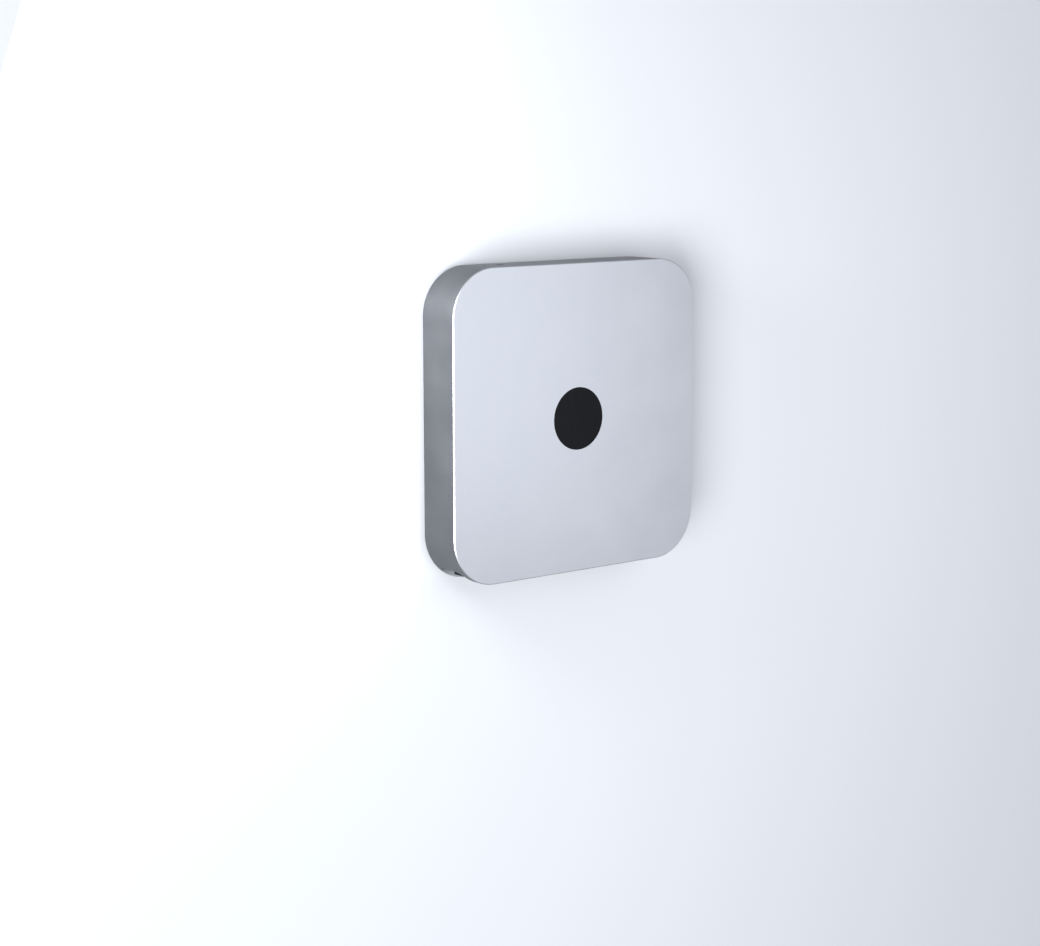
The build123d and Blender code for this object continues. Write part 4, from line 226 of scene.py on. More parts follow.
def mixed_colour(tree, factor, first, second):
    """Blend of two colours, each a tuple or a colour socket."""
    blend = tree.nodes.new("ShaderNodeMix")
    blend.data_type = "RGBA"
    tree.links.new(factor, blend.inputs["Factor"])
    for label, colour in (("A", first), ("B", second)):
        socket = [s for s in blend.inputs if s.name == label and s.type == "RGBA"][0]
        if isinstance(colour, tuple):
            socket.default_value = (*colour, 1)
        else:
            tree.links.new(colour, socket)
    return [s for s in blend.outputs if s.type == "RGBA"][0]


def mixed_value(tree, factor, first, second):
    """Blend of two values, each a number or a socket."""
    blend = tree.nodes.new("ShaderNodeMix")
    tree.links.new(factor, blend.inputs["Factor"])
    feed(tree, blend.inputs["A"], first)
    feed(tree, blend.inputs["B"], second)
    return blend.outputs["Result"]


# Surface grain: two sizes of fine noise for relief, and a slow cloud for hand marks.
grain_group, grain_in, grain_out = value_group(
    "surface_grain", [("Grain scale", 3000.0), ("Cloud scale", 25.0)], ["Grain", "Cloud"]
)
fine = noise_node(grain_group, grain_in.outputs["Vector"], grain_in.outputs["Grain scale"], 2.0)
coarse_scale = math_node(grain_group, "MULTIPLY", grain_in.outputs["Grain scale"], COARSE_SCALE)
coarse = noise_node(grain_group, grain_in.outputs["Vector"], coarse_scale, 1.0)
fine_share = math_node(grain_group, "MULTIPLY", fine, FINE_SHARE)
coarse_share = math_node(grain_group, "MULTIPLY", coarse, 1 - FINE_SHARE)
grain_group.links.new(math_node(grain_group, "ADD", fine_share, coarse_share), grain_out.inputs["Grain"])
cloud = noise_node(grain_group, grain_in.outputs["Vector"], grain_in.outputs["Cloud scale"], 4.0)
grain_group.links.new(cloud, grain_out.inputs["Cloud"])


def grained_finish(name, dark, light, rough, grain_size, relief, metal=0.0, cloud_size=0.04,
                   stretch=(1.0, 1.0, 1.0), gloss=0.5):
    """Finish with grain relief, and a cloud that shifts its colour and roughness a little."""
    material, tree, shader = blank_material(name)
    place = tree.nodes.new("ShaderNodeTexCoord").outputs["Object"]
    drawn = tree.nodes.new("ShaderNodeMapping")
    drawn.inputs["Scale"].default_value = stretch
    tree.links.new(place, drawn.inputs["Vector"])
    grain = tree.nodes.new("ShaderNodeGroup")
    grain.node_tree = grain_group
    grain.inputs["Grain scale"].default_value = 1 / grain_size
    grain.inputs["Cloud scale"].default_value = 1 / cloud_size
    tree.links.new(drawn.outputs["Vector"], grain.inputs["Vector"])
    grain_shade = spread(tree, grain.outputs["Grain"], 0.0, 0.5)
    cloud_shade = spread(tree, grain.outputs["Cloud"], 0.0, 0.5)
    shade = math_node(tree, "ADD", grain_shade, cloud_shade)
    tree.links.new(mixed_colour(tree, shade, dark, light), shader.inputs["Base Color"])
    tree.links.new(spread(tree, grain.outputs["Cloud"], rough[0], rough[1]), shader.inputs["Roughness"])
    bump = tree.nodes.new("ShaderNodeBump")
    bump.inputs["Strength"].default_value = 1.0
    bump.inputs["Distance"].default_value = relief
    tree.links.new(grain.outputs["Grain"], bump.inputs["Height"])
    tree.links.new(bump.outputs["Normal"], shader.inputs["Normal"])
    shader.inputs["Metallic"].default_value = metal
    shader.inputs["Specular IOR Level"].default_value = gloss
    return material


def shader_of(material):
    """The shader, its node tree, and what feeds its colour and roughness."""
    tree = material.node_tree
    shader = tree.nodes["Principled BSDF"]
    colour = shader.inputs["Base Color"].links[0].from_socket
    rough = shader.inputs["Roughness"].links[0].from_socket
    return shader, tree, colour, rough


def place_axis(tree, axis):
    """One coordinate of the object's own space, in metres."""
    split = tree.nodes.new("ShaderNodeSeparateXYZ")
    tree.links.new(tree.nodes.new("ShaderNodeTexCoord").outputs["Object"], split.inputs["Vector"])
    return split.outputs[axis]


def finish_node(name, material):
    """Gives a CAD node its material."""
    piece = node[name]
    piece.data.materials.clear()
    piece.data.materials.append(material)


shell_finish = grained_finish(
    "blasted_aluminium", dark=SHELL_DARK, light=SHELL_LIGHT, rough=(0.40, 0.46), grain_size=SHELL_GRAIN,
    relief=0.00002, metal=1.0,
)
shell_shader, shell_tree, shell_colour, shell_rough = shader_of(shell_finish)
shell_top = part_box("enclosure")[1].z
near_top = math_node(shell_tree, "GREATER_THAN", place_axis(shell_tree, "Z"), shell_top - BEVEL_BAND)
shell_facing = shell_tree.nodes.new("ShaderNodeSeparateXYZ")
shell_geometry = shell_tree.nodes.new("ShaderNodeNewGeometry")
shell_tree.links.new(shell_geometry.outputs["Normal"], shell_facing.inputs["Vector"])
leaning = math_node(shell_tree, "LESS_THAN", shell_facing.outputs["Z"], BEVEL_LEAN)
on_bevel = math_node(shell_tree, "MULTIPLY", near_top, leaning)
edge_rough = mixed_value(shell_tree, on_bevel, shell_rough, BEVEL_ROUGH)
edge_colour = mixed_colour(shell_tree, on_bevel, shell_colour, BEVEL_TINT)
shell_tree.links.new(edge_rough, shell_shader.inputs["Roughness"])
shell_tree.links.new(edge_colour, shell_shader.inputs["Base Color"])
finish_node("enclosure", shell_finish)

# Top inlay. A plain disc of polished black acrylic, bonded flush in a shallow round
# pocket in the middle of the top face.
inlay_finish = grained_finish(
    "black_acrylic", dark=(0.003, 0.003, 0.004), light=(0.007, 0.007, 0.008), rough=(0.20, 0.28),
    grain_size=0.004, relief=0.000002, cloud_size=0.012, gloss=0.12,
)
finish_node("top_inlay", inlay_finish)

# Front lights. A clear light guide, a dark filter window and the small board behind them,
# which stands on two bonded pads inside the front wall.
LENS_TINTS = {"status_light_lens": ((0.78, 0.82, 0.86), 0.7), "remote_window": ((0.045, 0.012, 0.018), 0.2)}
LENS_SHADE = 0.85
for lens, (tint, passing) in LENS_TINTS.items():
    lens_finish = grained_finish(
        lens + "_acrylic", dark=tuple(LENS_SHADE * c for c in tint), light=tint, rough=(0.10, 0.18),
        grain_size=0.0006, relief=0.000003, cloud_size=0.003,
    )
    lens_finish.node_tree.nodes["Principled BSDF"].inputs["Transmission Weight"].default_value = passing
    finish_node(lens, lens_finish)

# Power button. A gloss moulding in the rear corner, with a push switch behind it on a
# bracket that hangs from the ceiling.
button_finish = grained_finish(
    "button_plastic", dark=(0.010, 0.010, 0.011), light=(0.018, 0.018, 0.020), rough=(0.14, 0.22),
    grain_size=0.0006, relief=0.000004, gloss=0.45,
)
switch_finish = grained_finish(
    "switch_body", dark=(0.018, 0.018, 0.019), light=(0.034, 0.034, 0.036), rough=(0.42, 0.55),
    grain_size=0.0003, relief=0.00001,
)
finish_node("power_button", button_finish)
finish_node("power_switch", switch_finish)

# Rear panel. Satin black mouldings behind the rear window: a straight middle, two ends
# that follow the round corners, and the exhaust grille clipped in below the ports.
VANE_THICK = 0.0005
VANE_PITCH = 0.002
VANE_DEPTH = 0.004
panel_finish = grained_finish(
    "panel_plastic", dark=(0.010, 0.010, 0.011), light=(0.019, 0.019, 0.021), rough=(0.40, 0.50),
    grain_size=0.0004, relief=0.000025,
)


def only(piece):
    """Makes one object the only selected and active one."""
    bpy.ops.object.select_all(action="DESELECT")
    piece.select_set(True)
    bpy.context.view_layer.objects.active = piece


def settle(piece, name, angle=math.radians(35)):
    """Names a new piece, puts its place in its mesh and smooths it up to an angle."""
    only(piece)
    piece.name = name
    bpy.ops.object.transform_apply(location=True, rotation=True, scale=True)
    bpy.ops.object.shade_smooth_by_angle(angle=angle)
    return piece


def bar(name, low, high, edge, segments=2):
    """Straight bar between two corners, with its edges rounded off."""
    bpy.ops.object.select_all(action="DESELECT")
    middle = [(a + b) / 2 for a, b in zip(low, high)]
    size = [b - a for a, b in zip(low, high)]
    bpy.ops.mesh.primitive_cube_add(size=1, location=middle, scale=size)
    piece = settle(bpy.context.object, name)
    bpy.ops.object.mode_set(mode="EDIT")
    bpy.ops.mesh.select_all(action="SELECT")
    bpy.ops.mesh.bevel(offset=edge, segments=segments, affect="EDGES")
    bpy.ops.object.mode_set(mode="OBJECT")
    return piece


def copies(piece, shifts):
    """One piece made of a copy of another at each shift. The first is moved, the rest are new."""
    made = [piece]
    for shift in shifts[1:]:
        extra = piece.copy()
        extra.data = piece.data.copy()
        extra.data.transform(Matrix.Translation(shift))
        bpy.context.scene.collection.objects.link(extra)
        made.append(extra)
    piece.data.transform(Matrix.Translation(shifts[0]))
    only(piece)
    for extra in made:
        extra.select_set(True)
    if len(made) > 1:
        bpy.ops.object.join()
    return piece


def fit_piece(piece, material, body="root"):
    """Gives a new piece its material and its body."""
    piece.data.materials.clear()
    piece.data.materials.append(material)
    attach(piece, body)


def solid_boxes(name):
    """Low and high corner of each separate solid in a CAD node, sorted by x."""
    shape = bmesh.new()
    shape.from_mesh(node[name].data)
    bmesh.ops.remove_doubles(shape, verts=shape.verts, dist=1e-6)
    left = set(shape.verts)
    boxes = []
    while left:
        group = [left.pop()]
        for vert in group:
            near = {e.other_vert(vert) for e in vert.link_edges} & left
            left -= near
            group.extend(near)
        boxes.append((Vector(min(v.co[i] for v in group) for i in range(3)),
                      Vector(max(v.co[i] for v in group) for i in range(3))))
    shape.free()
    return sorted(boxes, key=lambda pair: pair[0].x)


for name in ("io_panel", "audio_end_panel", "inlet_end_panel", "exhaust_grille"):
    finish_node(name, panel_finish)
grille_low, grille_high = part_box("exhaust_grille")
vane_low = (0, -VANE_DEPTH, grille_low.z + VANE_THICK)
vane_high = (VANE_THICK, 0, grille_high.z - VANE_THICK)
vane = bar("exhaust_vanes", vane_low, vane_high, VANE_THICK / 4)
vane_count = int((grille_high.x - grille_low.x) / VANE_PITCH) - 1
vane_y = grille_low.y - VANE_THICK
copies(vane, [Vector((grille_low.x + VANE_PITCH * (k + 1), vane_y, 0)) for k in range(vane_count)])
fit_piece(vane, panel_finish)

# Upright data ports. Folded nickel shells with a black tongue: four gold contacts on the
# tongue's open side, and two sprung strips cut from each side of the shell.
STRIP_Y0, STRIP_Y1 = -0.0095, -0.0012
CONTACT_Y1 = -0.0022
CONTACT_W = 0.0010
CONTACT_PITCH = 0.0025
CONTACT_T = 0.00014
SPRING_W = 0.0018
SPRING_T = 0.0002
SPRING_BOW = 0.00045
SPRING_SHOULDER = 0.6
SPRING_RISE = 0.0031
CONTACTS_PER_PORT = 4
TONGUE_T = 0.0018
TONGUE_SIDE = 0.0004
SHELL_T = 0.0003
socket_finish = grained_finish(
    "socket_plastic", dark=(0.012, 0.012, 0.013), light=(0.024, 0.024, 0.026), rough=(0.42, 0.55),
    grain_size=0.0003, relief=0.00001,
)
nickel_finish = grained_finish(
    "nickel_shell", dark=(0.50, 0.49, 0.46), light=(0.66, 0.65, 0.62), rough=(0.20, 0.34),
    grain_size=0.0005, relief=0.000006, metal=1.0, cloud_size=0.006, stretch=(1, 0.15, 1),
)
gold_finish = grained_finish(
    "gold_contact", dark=(0.78, 0.55, 0.20), light=(0.92, 0.70, 0.32), rough=(0.18, 0.30),
    grain_size=0.0003, relief=0.000003, metal=1.0, cloud_size=0.003,
)
for name in ("hdmi_port", "usb_ports", "display_port_1", "display_port_2", "card_slot", "ac_inlet_pins"):
    finish_node(name, nickel_finish)
for name in ("ac_inlet", "ethernet_jack", "port_tongues", "audio_in_jack", "audio_out_jack"):
    finish_node(name, socket_finish)
finish_node("ethernet_contacts", gold_finish)


def bowed_strip(name, low, high, bow):
    """Thin strip along Y whose middle is pushed along X, as a leaf spring."""
    piece = bar(name, low, high, SPRING_T / 4, segments=1)
    middle = (low[1] + high[1]) / 2
    reach = (high[1] - low[1]) / 4
    bpy.ops.object.mode_set(mode="EDIT")
    bpy.ops.mesh.select_mode(type="VERT")
    for y in (middle - reach, middle, middle + reach):
        bpy.ops.mesh.select_all(action="SELECT")
        bpy.ops.mesh.bisect(plane_co=(0, y, 0), plane_no=(0, 1, 0))
    for y, share in ((middle - reach, SPRING_SHOULDER), (middle, 1.0), (middle + reach, SPRING_SHOULDER)):
        bpy.ops.mesh.select_all(action="DESELECT")
        bpy.ops.object.mode_set(mode="OBJECT")
        for vert in piece.data.vertices:
            vert.select = abs(vert.co.y - y) < reach / 10
        bpy.ops.object.mode_set(mode="EDIT")
        bpy.ops.transform.translate(value=(bow * share, 0, 0))
    bpy.ops.object.mode_set(mode="OBJECT")
    return piece


usb_boxes = solid_boxes("usb_ports")
tongue_boxes = solid_boxes("port_tongues")
usb_tongues = tongue_boxes[:len(usb_boxes)]
port_face = usb_boxes[0][1].y
usb_mid_z = (usb_boxes[0][0].z + usb_boxes[0][1].z) / 2
strip = bar("data_contacts", (0, STRIP_Y0, -CONTACT_W / 2), (CONTACT_T, CONTACT_Y1, CONTACT_W / 2),
            CONTACT_T / 3)
rows = [usb_mid_z + CONTACT_PITCH * (k - (CONTACTS_PER_PORT - 1) / 2) for k in range(CONTACTS_PER_PORT)]
tongue_sides = [low.x + TONGUE_SIDE + TONGUE_T for low, high in usb_tongues]
copies(strip, [Vector((x, port_face, z)) for x in tongue_sides for z in rows])
fit_piece(strip, gold_finish)
for side_name, way in (("left", 1), ("right", -1)):
    spring = bowed_strip(f"data_springs_{side_name}", (-SPRING_T / 2, STRIP_Y0, -SPRING_W / 2),
                         (SPRING_T / 2, STRIP_Y1, SPRING_W / 2), SPRING_BOW * way)
    ends = [low.x if way > 0 else high.x for low, high in usb_boxes]
    shifts = [Vector((x + way * (SHELL_T + SPRING_T / 2), port_face, usb_mid_z + rise))
              for x in ends for rise in (-SPRING_RISE, SPRING_RISE)]
    copies(spring, shifts)
    fit_piece(spring, nickel_finish)

# Picture ports. The wide one and the two small ones have gold contacts along the top of
# their tongues.
PICTURE_CONTACT_W = 0.0004
PICTURE_PITCH = 0.001
PICTURE_TONGUE_T = 0.001
PICTURE_Y0, PICTURE_Y1 = -0.008, -0.0016
for index, (low, high) in enumerate(tongue_boxes[len(usb_boxes):]):
    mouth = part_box(("display_port_2", "display_port_1", "hdmi_port")[index])
    blade_top = (low.z + high.z) / 2 + PICTURE_TONGUE_T
    count = int((high.x - low.x - PICTURE_PITCH) / PICTURE_PITCH)
    start = (low.x + high.x) / 2 - PICTURE_PITCH * (count - 1) / 2
    pin = bar(f"picture_contacts_{index + 1}", (-PICTURE_CONTACT_W / 2, PICTURE_Y0, 0),
              (PICTURE_CONTACT_W / 2, PICTURE_Y1, CONTACT_T), CONTACT_T / 3)
    copies(pin, [Vector((start + PICTURE_PITCH * k, mouth[1].y, blade_top)) for k in range(count)])
    fit_piece(pin, gold_finish)

# Network jack. A moulded body in a thin metal screen that shows as a frame round the
# mouth. The card slot beside the data ports has a thinner one.
SCREEN_RIM = 0.0007
SCREEN_T = 0.0003


def mouth_frame(name, low, high, rim, thick, face_y):
    """Thin upright frame round a port mouth, standing on the face at face_y."""
    bpy.ops.object.select_all(action="DESELECT")
    middle = ((low.x + high.x) / 2, face_y, (low.z + high.z) / 2)
    bpy.ops.mesh.primitive_plane_add(size=1, location=middle, rotation=(-math.pi / 2, 0, 0))
    piece = bpy.context.object
    piece.scale = (high.x - low.x, high.z - low.z, 1)
    settle(piece, name)
    bpy.ops.object.mode_set(mode="EDIT")
    bpy.ops.mesh.select_all(action="SELECT")
    bpy.ops.mesh.inset(thickness=rim)
    bpy.ops.mesh.delete(type="FACE")
    bpy.ops.object.mode_set(mode="OBJECT")
    wall = piece.modifiers.new("wall", "SOLIDIFY")
    wall.thickness = thick
    wall.offset = -1
    bpy.ops.object.modifier_apply(modifier="wall")
    round_off = piece.modifiers.new("edges", "BEVEL")
    round_off.width = thick / 3
    round_off.segments = 2
    bpy.ops.object.modifier_apply(modifier="edges")
    return piece


jack_low, jack_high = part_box("ethernet_jack")
screen = mouth_frame("network_screen", jack_low, jack_high, SCREEN_RIM, SCREEN_T, jack_high.y + SCREEN_T)
fit_piece(screen, nickel_finish)
card_low, card_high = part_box("card_slot")
lip = mouth_frame("card_slot_lip", card_low, card_high, SCREEN_T, SCREEN_T, card_high.y + SCREEN_T)
fit_piece(lip, nickel_finish)

# Audio jacks. Each black sleeve carries a thin plated collar round its bore, at the
# place that the part's record gives for the plug.
COLLAR_RIM = 0.0005
COLLAR_T = 0.0003


def collar(name, centre, inner, outer, thick, segments=40):
    """Thin ring that faces +Y, its back on the face at the centre's y."""
    bpy.ops.object.select_all(action="DESELECT")
    bpy.ops.mesh.primitive_circle_add(vertices=segments, radius=outer, fill_type="NGON", location=centre,
                                      rotation=(-math.pi / 2, 0, 0))
    piece = settle(bpy.context.object, name)
    bpy.ops.object.mode_set(mode="EDIT")
    bpy.ops.mesh.select_all(action="SELECT")
    bpy.ops.mesh.inset(thickness=outer - inner)
    bpy.ops.mesh.delete(type="FACE")
    bpy.ops.object.mode_set(mode="OBJECT")
    wall = piece.modifiers.new("wall", "SOLIDIFY")
    wall.thickness = thick
    wall.offset = 1
    bpy.ops.object.modifier_apply(modifier="wall")
    round_off = piece.modifiers.new("edges", "BEVEL")
    round_off.width = thick / 3
    round_off.segments = 2
    bpy.ops.object.modifier_apply(modifier="edges")
    return piece


for mount in frame["record"]["mounts"]:
    if mount["kind"] != "bore":
        continue
    jack = mount["name"].replace("_bore", "_jack")
    x, y, z = mount["pos_m"]
    bore_r = mount["dims"]["r_mm"] / 1000
    face = (x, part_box(jack)[1].y, z)
    ring = collar(jack.replace("jack", "collar"), face, bore_r, bore_r + COLLAR_RIM, COLLAR_T)
    fit_piece(ring, nickel_finish)

# Logic board. Dark solder mask over etched copper: tracks in bundles that run one way or
# the other, and gold rings where a track changes side. Small chip resistors and
# capacitors with tinned ends stand in rows between the larger parts.
TRACK_PITCH = 0.0008
TRACK_AREA = 0.0065
VIA_PITCH = 0.0034
MASK_DARK = (0.010, 0.017, 0.015)
MASK_LIGHT = (0.016, 0.027, 0.023)
TRACK_COLOUR = (0.028, 0.052, 0.042)
RING_COLOUR = (0.72, 0.52, 0.22)
CHIP_LENGTH = 0.0016
CHIP_WIDTH = 0.0008
CHIP_HEIGHT = 0.0006
CHIP_END = 0.0003
ROW_X, ROW_Y = 0.0055, 0.0042
KEEP_CLEAR = 0.0012
CORNER_CLEAR = 0.016
CHIP_SHARE = 0.55
TRACK_SHARE = 0.45
RUN_X_FROM, RUN_Y_TO = 0.62, 0.34
RING_INNER, RING_OUTER = 0.003, 0.010
RING_SHARE = 0.4
TRACK_RELIEF = 0.00002

# Board tracks: which way they run is drawn at random for each small square of the board.
track_inputs = [("Pitch", TRACK_PITCH), ("Area", TRACK_AREA), ("Ring pitch", VIA_PITCH)]
track_group, track_in, track_out = value_group("board_tracks", track_inputs, ["Track", "Ring"])


def scaled_vector(tree, vector, kind, divisor):
    """A vector divided by a value, then floored or made fractional."""
    shrink = tree.nodes.new("ShaderNodeVectorMath")
    shrink.operation = "SCALE"
    tree.links.new(vector, shrink.inputs["Vector"])
    feed(tree, shrink.inputs["Scale"], math_node(tree, "DIVIDE", 1.0, divisor))
    step = tree.nodes.new("ShaderNodeVectorMath")
    step.operation = kind
    tree.links.new(shrink.outputs["Vector"], step.inputs[0])
    return step.outputs["Vector"]


def random_value(tree, vector):
    """A random number for each whole-number vector."""
    draw = tree.nodes.new("ShaderNodeTexWhiteNoise")
    tree.links.new(vector, draw.inputs["Vector"])
    return draw.outputs["Value"]


board_place = track_in.outputs["Vector"]
board_square = scaled_vector(track_group, board_place, "FLOOR", track_in.outputs["Area"])
drawn_way = random_value(track_group, board_square)
in_pitch = track_group.nodes.new("ShaderNodeSeparateXYZ")
track_group.links.new(scaled_vector(track_group, board_place, "FRACTION", track_in.outputs["Pitch"]),
                      in_pitch.inputs["Vector"])
lines = []
for axis, chosen in (("X", math_node(track_group, "GREATER_THAN", drawn_way, RUN_X_FROM)),
                     ("Y", math_node(track_group, "LESS_THAN", drawn_way, RUN_Y_TO))):
    line = math_node(track_group, "LESS_THAN", in_pitch.outputs[axis], TRACK_SHARE)
    lines.append(math_node(track_group, "MULTIPLY", line, chosen))
track_mask = math_node(track_group, "MAXIMUM", lines[0], lines[1])
track_group.links.new(track_mask, track_out.inputs["Track"])
in_ring = track_group.nodes.new("ShaderNodeSeparateXYZ")
track_group.links.new(scaled_vector(track_group, board_place, "FRACTION", track_in.outputs["Ring pitch"]),
                      in_ring.inputs["Vector"])
from_x = math_node(track_group, "POWER", math_node(track_group, "SUBTRACT", in_ring.outputs["X"], 0.5), 2.0)
from_y = math_node(track_group, "POWER", math_node(track_group, "SUBTRACT", in_ring.outputs["Y"], 0.5), 2.0)
off_centre = math_node(track_group, "ADD", from_x, from_y)
inside = math_node(track_group, "LESS_THAN", off_centre, RING_OUTER)
outside_hole = math_node(track_group, "GREATER_THAN", off_centre, RING_INNER)
ring_square = scaled_vector(track_group, board_place, "FLOOR", track_in.outputs["Ring pitch"])
ring_kept = math_node(track_group, "GREATER_THAN", random_value(track_group, ring_square), 1 - RING_SHARE)
ring_shape = math_node(track_group, "MULTIPLY", inside, outside_hole)
ring_mask = math_node(track_group, "MULTIPLY", ring_shape, ring_kept)
track_group.links.new(ring_mask, track_out.inputs["Ring"])


def board_finish(name, dark, light, track_colour, pitch=TRACK_PITCH):
    """Printed circuit: solder mask with etched tracks and gold rings."""
    material = grained_finish(
        name, dark, light, rough=(0.30, 0.42), grain_size=0.0005, relief=0.000004, cloud_size=0.02,
    )
    shader, tree, colour = shader_of(material)[:3]
    flat = tree.nodes.new("ShaderNodeMapping")
    flat.inputs["Scale"].default_value = (1, 1, 0)
    tree.links.new(tree.nodes.new("ShaderNodeTexCoord").outputs["Object"], flat.inputs["Vector"])
    tracks = tree.nodes.new("ShaderNodeGroup")
    tracks.node_tree = track_group
    tracks.inputs["Pitch"].default_value = pitch
    tracks.inputs["Area"].default_value = TRACK_AREA
    tracks.inputs["Ring pitch"].default_value = VIA_PITCH
    tree.links.new(flat.outputs["Vector"], tracks.inputs["Vector"])
    etched = mixed_colour(tree, tracks.outputs["Track"], colour, track_colour)
    ringed = mixed_colour(tree, tracks.outputs["Ring"], etched, RING_COLOUR)
    tree.links.new(ringed, shader.inputs["Base Color"])
    tree.links.new(tracks.outputs["Ring"], shader.inputs["Metallic"])
    relief = tree.nodes.new("ShaderNodeBump")
    relief.inputs["Distance"].default_value = TRACK_RELIEF
    tree.links.new(shader.inputs["Normal"].links[0].from_socket, relief.inputs["Normal"])
    tree.links.new(tracks.outputs["Track"], relief.inputs["Height"])
    tree.links.new(relief.outputs["Normal"], shader.inputs["Normal"])
    return material


main_board = board_finish("logic_board_mask", dark=MASK_DARK, light=MASK_LIGHT, track_colour=TRACK_COLOUR)
for name in ("logic_board", "front_sensor_board"):
    finish_node(name, main_board)
ceramic_finish = grained_finish(
    "chip_ceramic", dark=(0.20, 0.13, 0.075), light=(0.30, 0.20, 0.12), rough=(0.45, 0.6),
    grain_size=0.0002, relief=0.000003, cloud_size=0.004,
)
tin_finish = grained_finish(
    "tinned_ends", dark=(0.62, 0.62, 0.60), light=(0.78, 0.78, 0.76), rough=(0.28, 0.40), grain_size=0.0002,
    relief=0.000004, metal=1.0, cloud_size=0.003,
)
board_low, board_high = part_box("logic_board")
UNDER_BOARD = (
    "board_chips", "board_capacitors", "board_connectors", "coin_cell_holder", "processor_package",
    "memory_socket", "cold_plate", "screws", "hdmi_port", "usb_ports", "display_port_1",
    "display_port_2", "card_slot", "ethernet_jack", "audio_in_jack", "audio_out_jack",
    "fan_housing", "heat_pipe",
)
taken = [pair for name in UNDER_BOARD for pair in solid_boxes(name) if pair[1].z > board_low.z - CHIP_HEIGHT]
draw = random.Random(11)
spots = []
for column in range(int((board_high.x - board_low.x) / ROW_X) - 1):
    for line_number in range(int((board_high.y - board_low.y) / ROW_Y) - 3):
        x = board_low.x + ROW_X * (column + 1)
        y = board_low.y + ROW_Y * (line_number + 1)
        covered = any(low.x - KEEP_CLEAR - CHIP_LENGTH < x < high.x + KEEP_CLEAR
                      and low.y - KEEP_CLEAR < y < high.y + KEEP_CLEAR for low, high in taken)
        at_corner = (x - board_low.x) + (board_high.y - y) < CORNER_CLEAR
        if not covered and not at_corner and draw.random() < CHIP_SHARE:
            spots.append(Vector((x, y, board_low.z)))
body_bar = bar("chip_resistors", (CHIP_END, 0, -CHIP_HEIGHT), (CHIP_LENGTH - CHIP_END, CHIP_WIDTH, 0),
               CHIP_HEIGHT / 12, segments=1)
copies(body_bar, spots)
fit_piece(body_bar, ceramic_finish)
end_bar = bar("chip_resistor_ends", (0, 0, -CHIP_HEIGHT), (CHIP_END, CHIP_WIDTH, 0), CHIP_HEIGHT / 12,
              segments=1)
far_end = Vector((CHIP_LENGTH - CHIP_END, 0, 0))
copies(end_bar, [spot + shift for spot in spots for shift in (Vector(), far_end)])
fit_piece(end_bar, tin_finish)

# Parts on the board. Moulded chip packages with tinned legs, drawn cans and coils, and
# black connectors. The processor is a green substrate with its die face down.
LEG_T = 0.0002
LEG_PITCH = 0.0008
LEG_REACH = 0.0006
package_finish = grained_finish(
    "chip_package", dark=(0.013, 0.013, 0.014), light=(0.026, 0.026, 0.028), rough=(0.50, 0.62),
    grain_size=0.0003, relief=0.000012, cloud_size=0.006,
)
can_finish = grained_finish(
    "drawn_can", dark=(0.60, 0.60, 0.62), light=(0.78, 0.78, 0.80), rough=(0.24, 0.36), grain_size=0.0005,
    relief=0.000005, metal=1.0, cloud_size=0.006,
)
substrate_finish = board_finish(
    "processor_substrate", dark=(0.012, 0.030, 0.018), light=(0.020, 0.045, 0.028),
    track_colour=(0.035, 0.075, 0.045), pitch=0.0005,
)
finish_node("board_chips", package_finish)
finish_node("board_capacitors", can_finish)
finish_node("board_connectors", socket_finish)
finish_node("coin_cell_holder", socket_finish)
finish_node("processor_package", substrate_finish)
leg = bar("chip_legs", (-LEG_T / 2, 0, -LEG_T * 2), (LEG_T / 2, LEG_REACH, 0), LEG_T / 4, segments=1)
leg_places = []
for low, high in solid_boxes("board_chips"):
    leg_count = int((high.x - low.x) / LEG_PITCH) - 1
    for k in range(leg_count):
        x = low.x + LEG_PITCH * (k + 1)
        leg_places += [Vector((x, high.y, high.z)), Vector((x, low.y - LEG_REACH, high.z))]
copies(leg, leg_places)
fit_piece(leg, tin_finish)

# Backup cell. A plated steel can that lies in the open pocket of the square holder,
# under the front of the board.
cell_finish = grained_finish(
    "cell_can", dark=(0.62, 0.61, 0.57), light=(0.76, 0.75, 0.71), rough=(0.22, 0.36), grain_size=0.0004,
    relief=0.000006, metal=1.0, cloud_size=0.005,
)
finish_node("coin_cell", cell_finish)

# Memory. Two green modules stacked in one socket, with gold fingers along the socket's
# edge, and a sprung steel latch at each end that holds the module down.
FINGER_W = 0.0004
FINGER_PITCH = 0.0006
FINGER_L = 0.0022
FINGER_INSET = 0.002
latch_steel = grained_finish(
    "latch_steel", dark=(0.52, 0.52, 0.51), light=(0.68, 0.68, 0.66), rough=(0.26, 0.38), grain_size=0.0004,
    relief=0.000006, metal=1.0, cloud_size=0.005, stretch=(0.2, 1, 1),
)
module_mask = board_finish(
    "module_mask", dark=(0.010, 0.032, 0.017), light=(0.018, 0.050, 0.028),
    track_colour=(0.03, 0.085, 0.045), pitch=0.0006,
)
finish_node("memory_socket", socket_finish)
for number in (1, 2):
    finish_node(f"memory_module_{number}", module_mask)
    for end in ("front", "rear"):
        finish_node(f"memory_latch_{end}_{number}", latch_steel)
    low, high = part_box(f"memory_module_{number}")
    finger = bar(f"module_fingers_{number}", (-FINGER_L, -FINGER_W / 2, 0), (0, FINGER_W / 2, CONTACT_T),
                 CONTACT_T / 3, segments=1)
    finger_count = int((high.y - low.y) / FINGER_PITCH) - 4
    finger_x = high.x - FINGER_INSET
    copies(finger, [Vector((finger_x, low.y + FINGER_PITCH * (k + 2), high.z)) for k in range(finger_count)])
    fit_piece(finger, gold_finish)

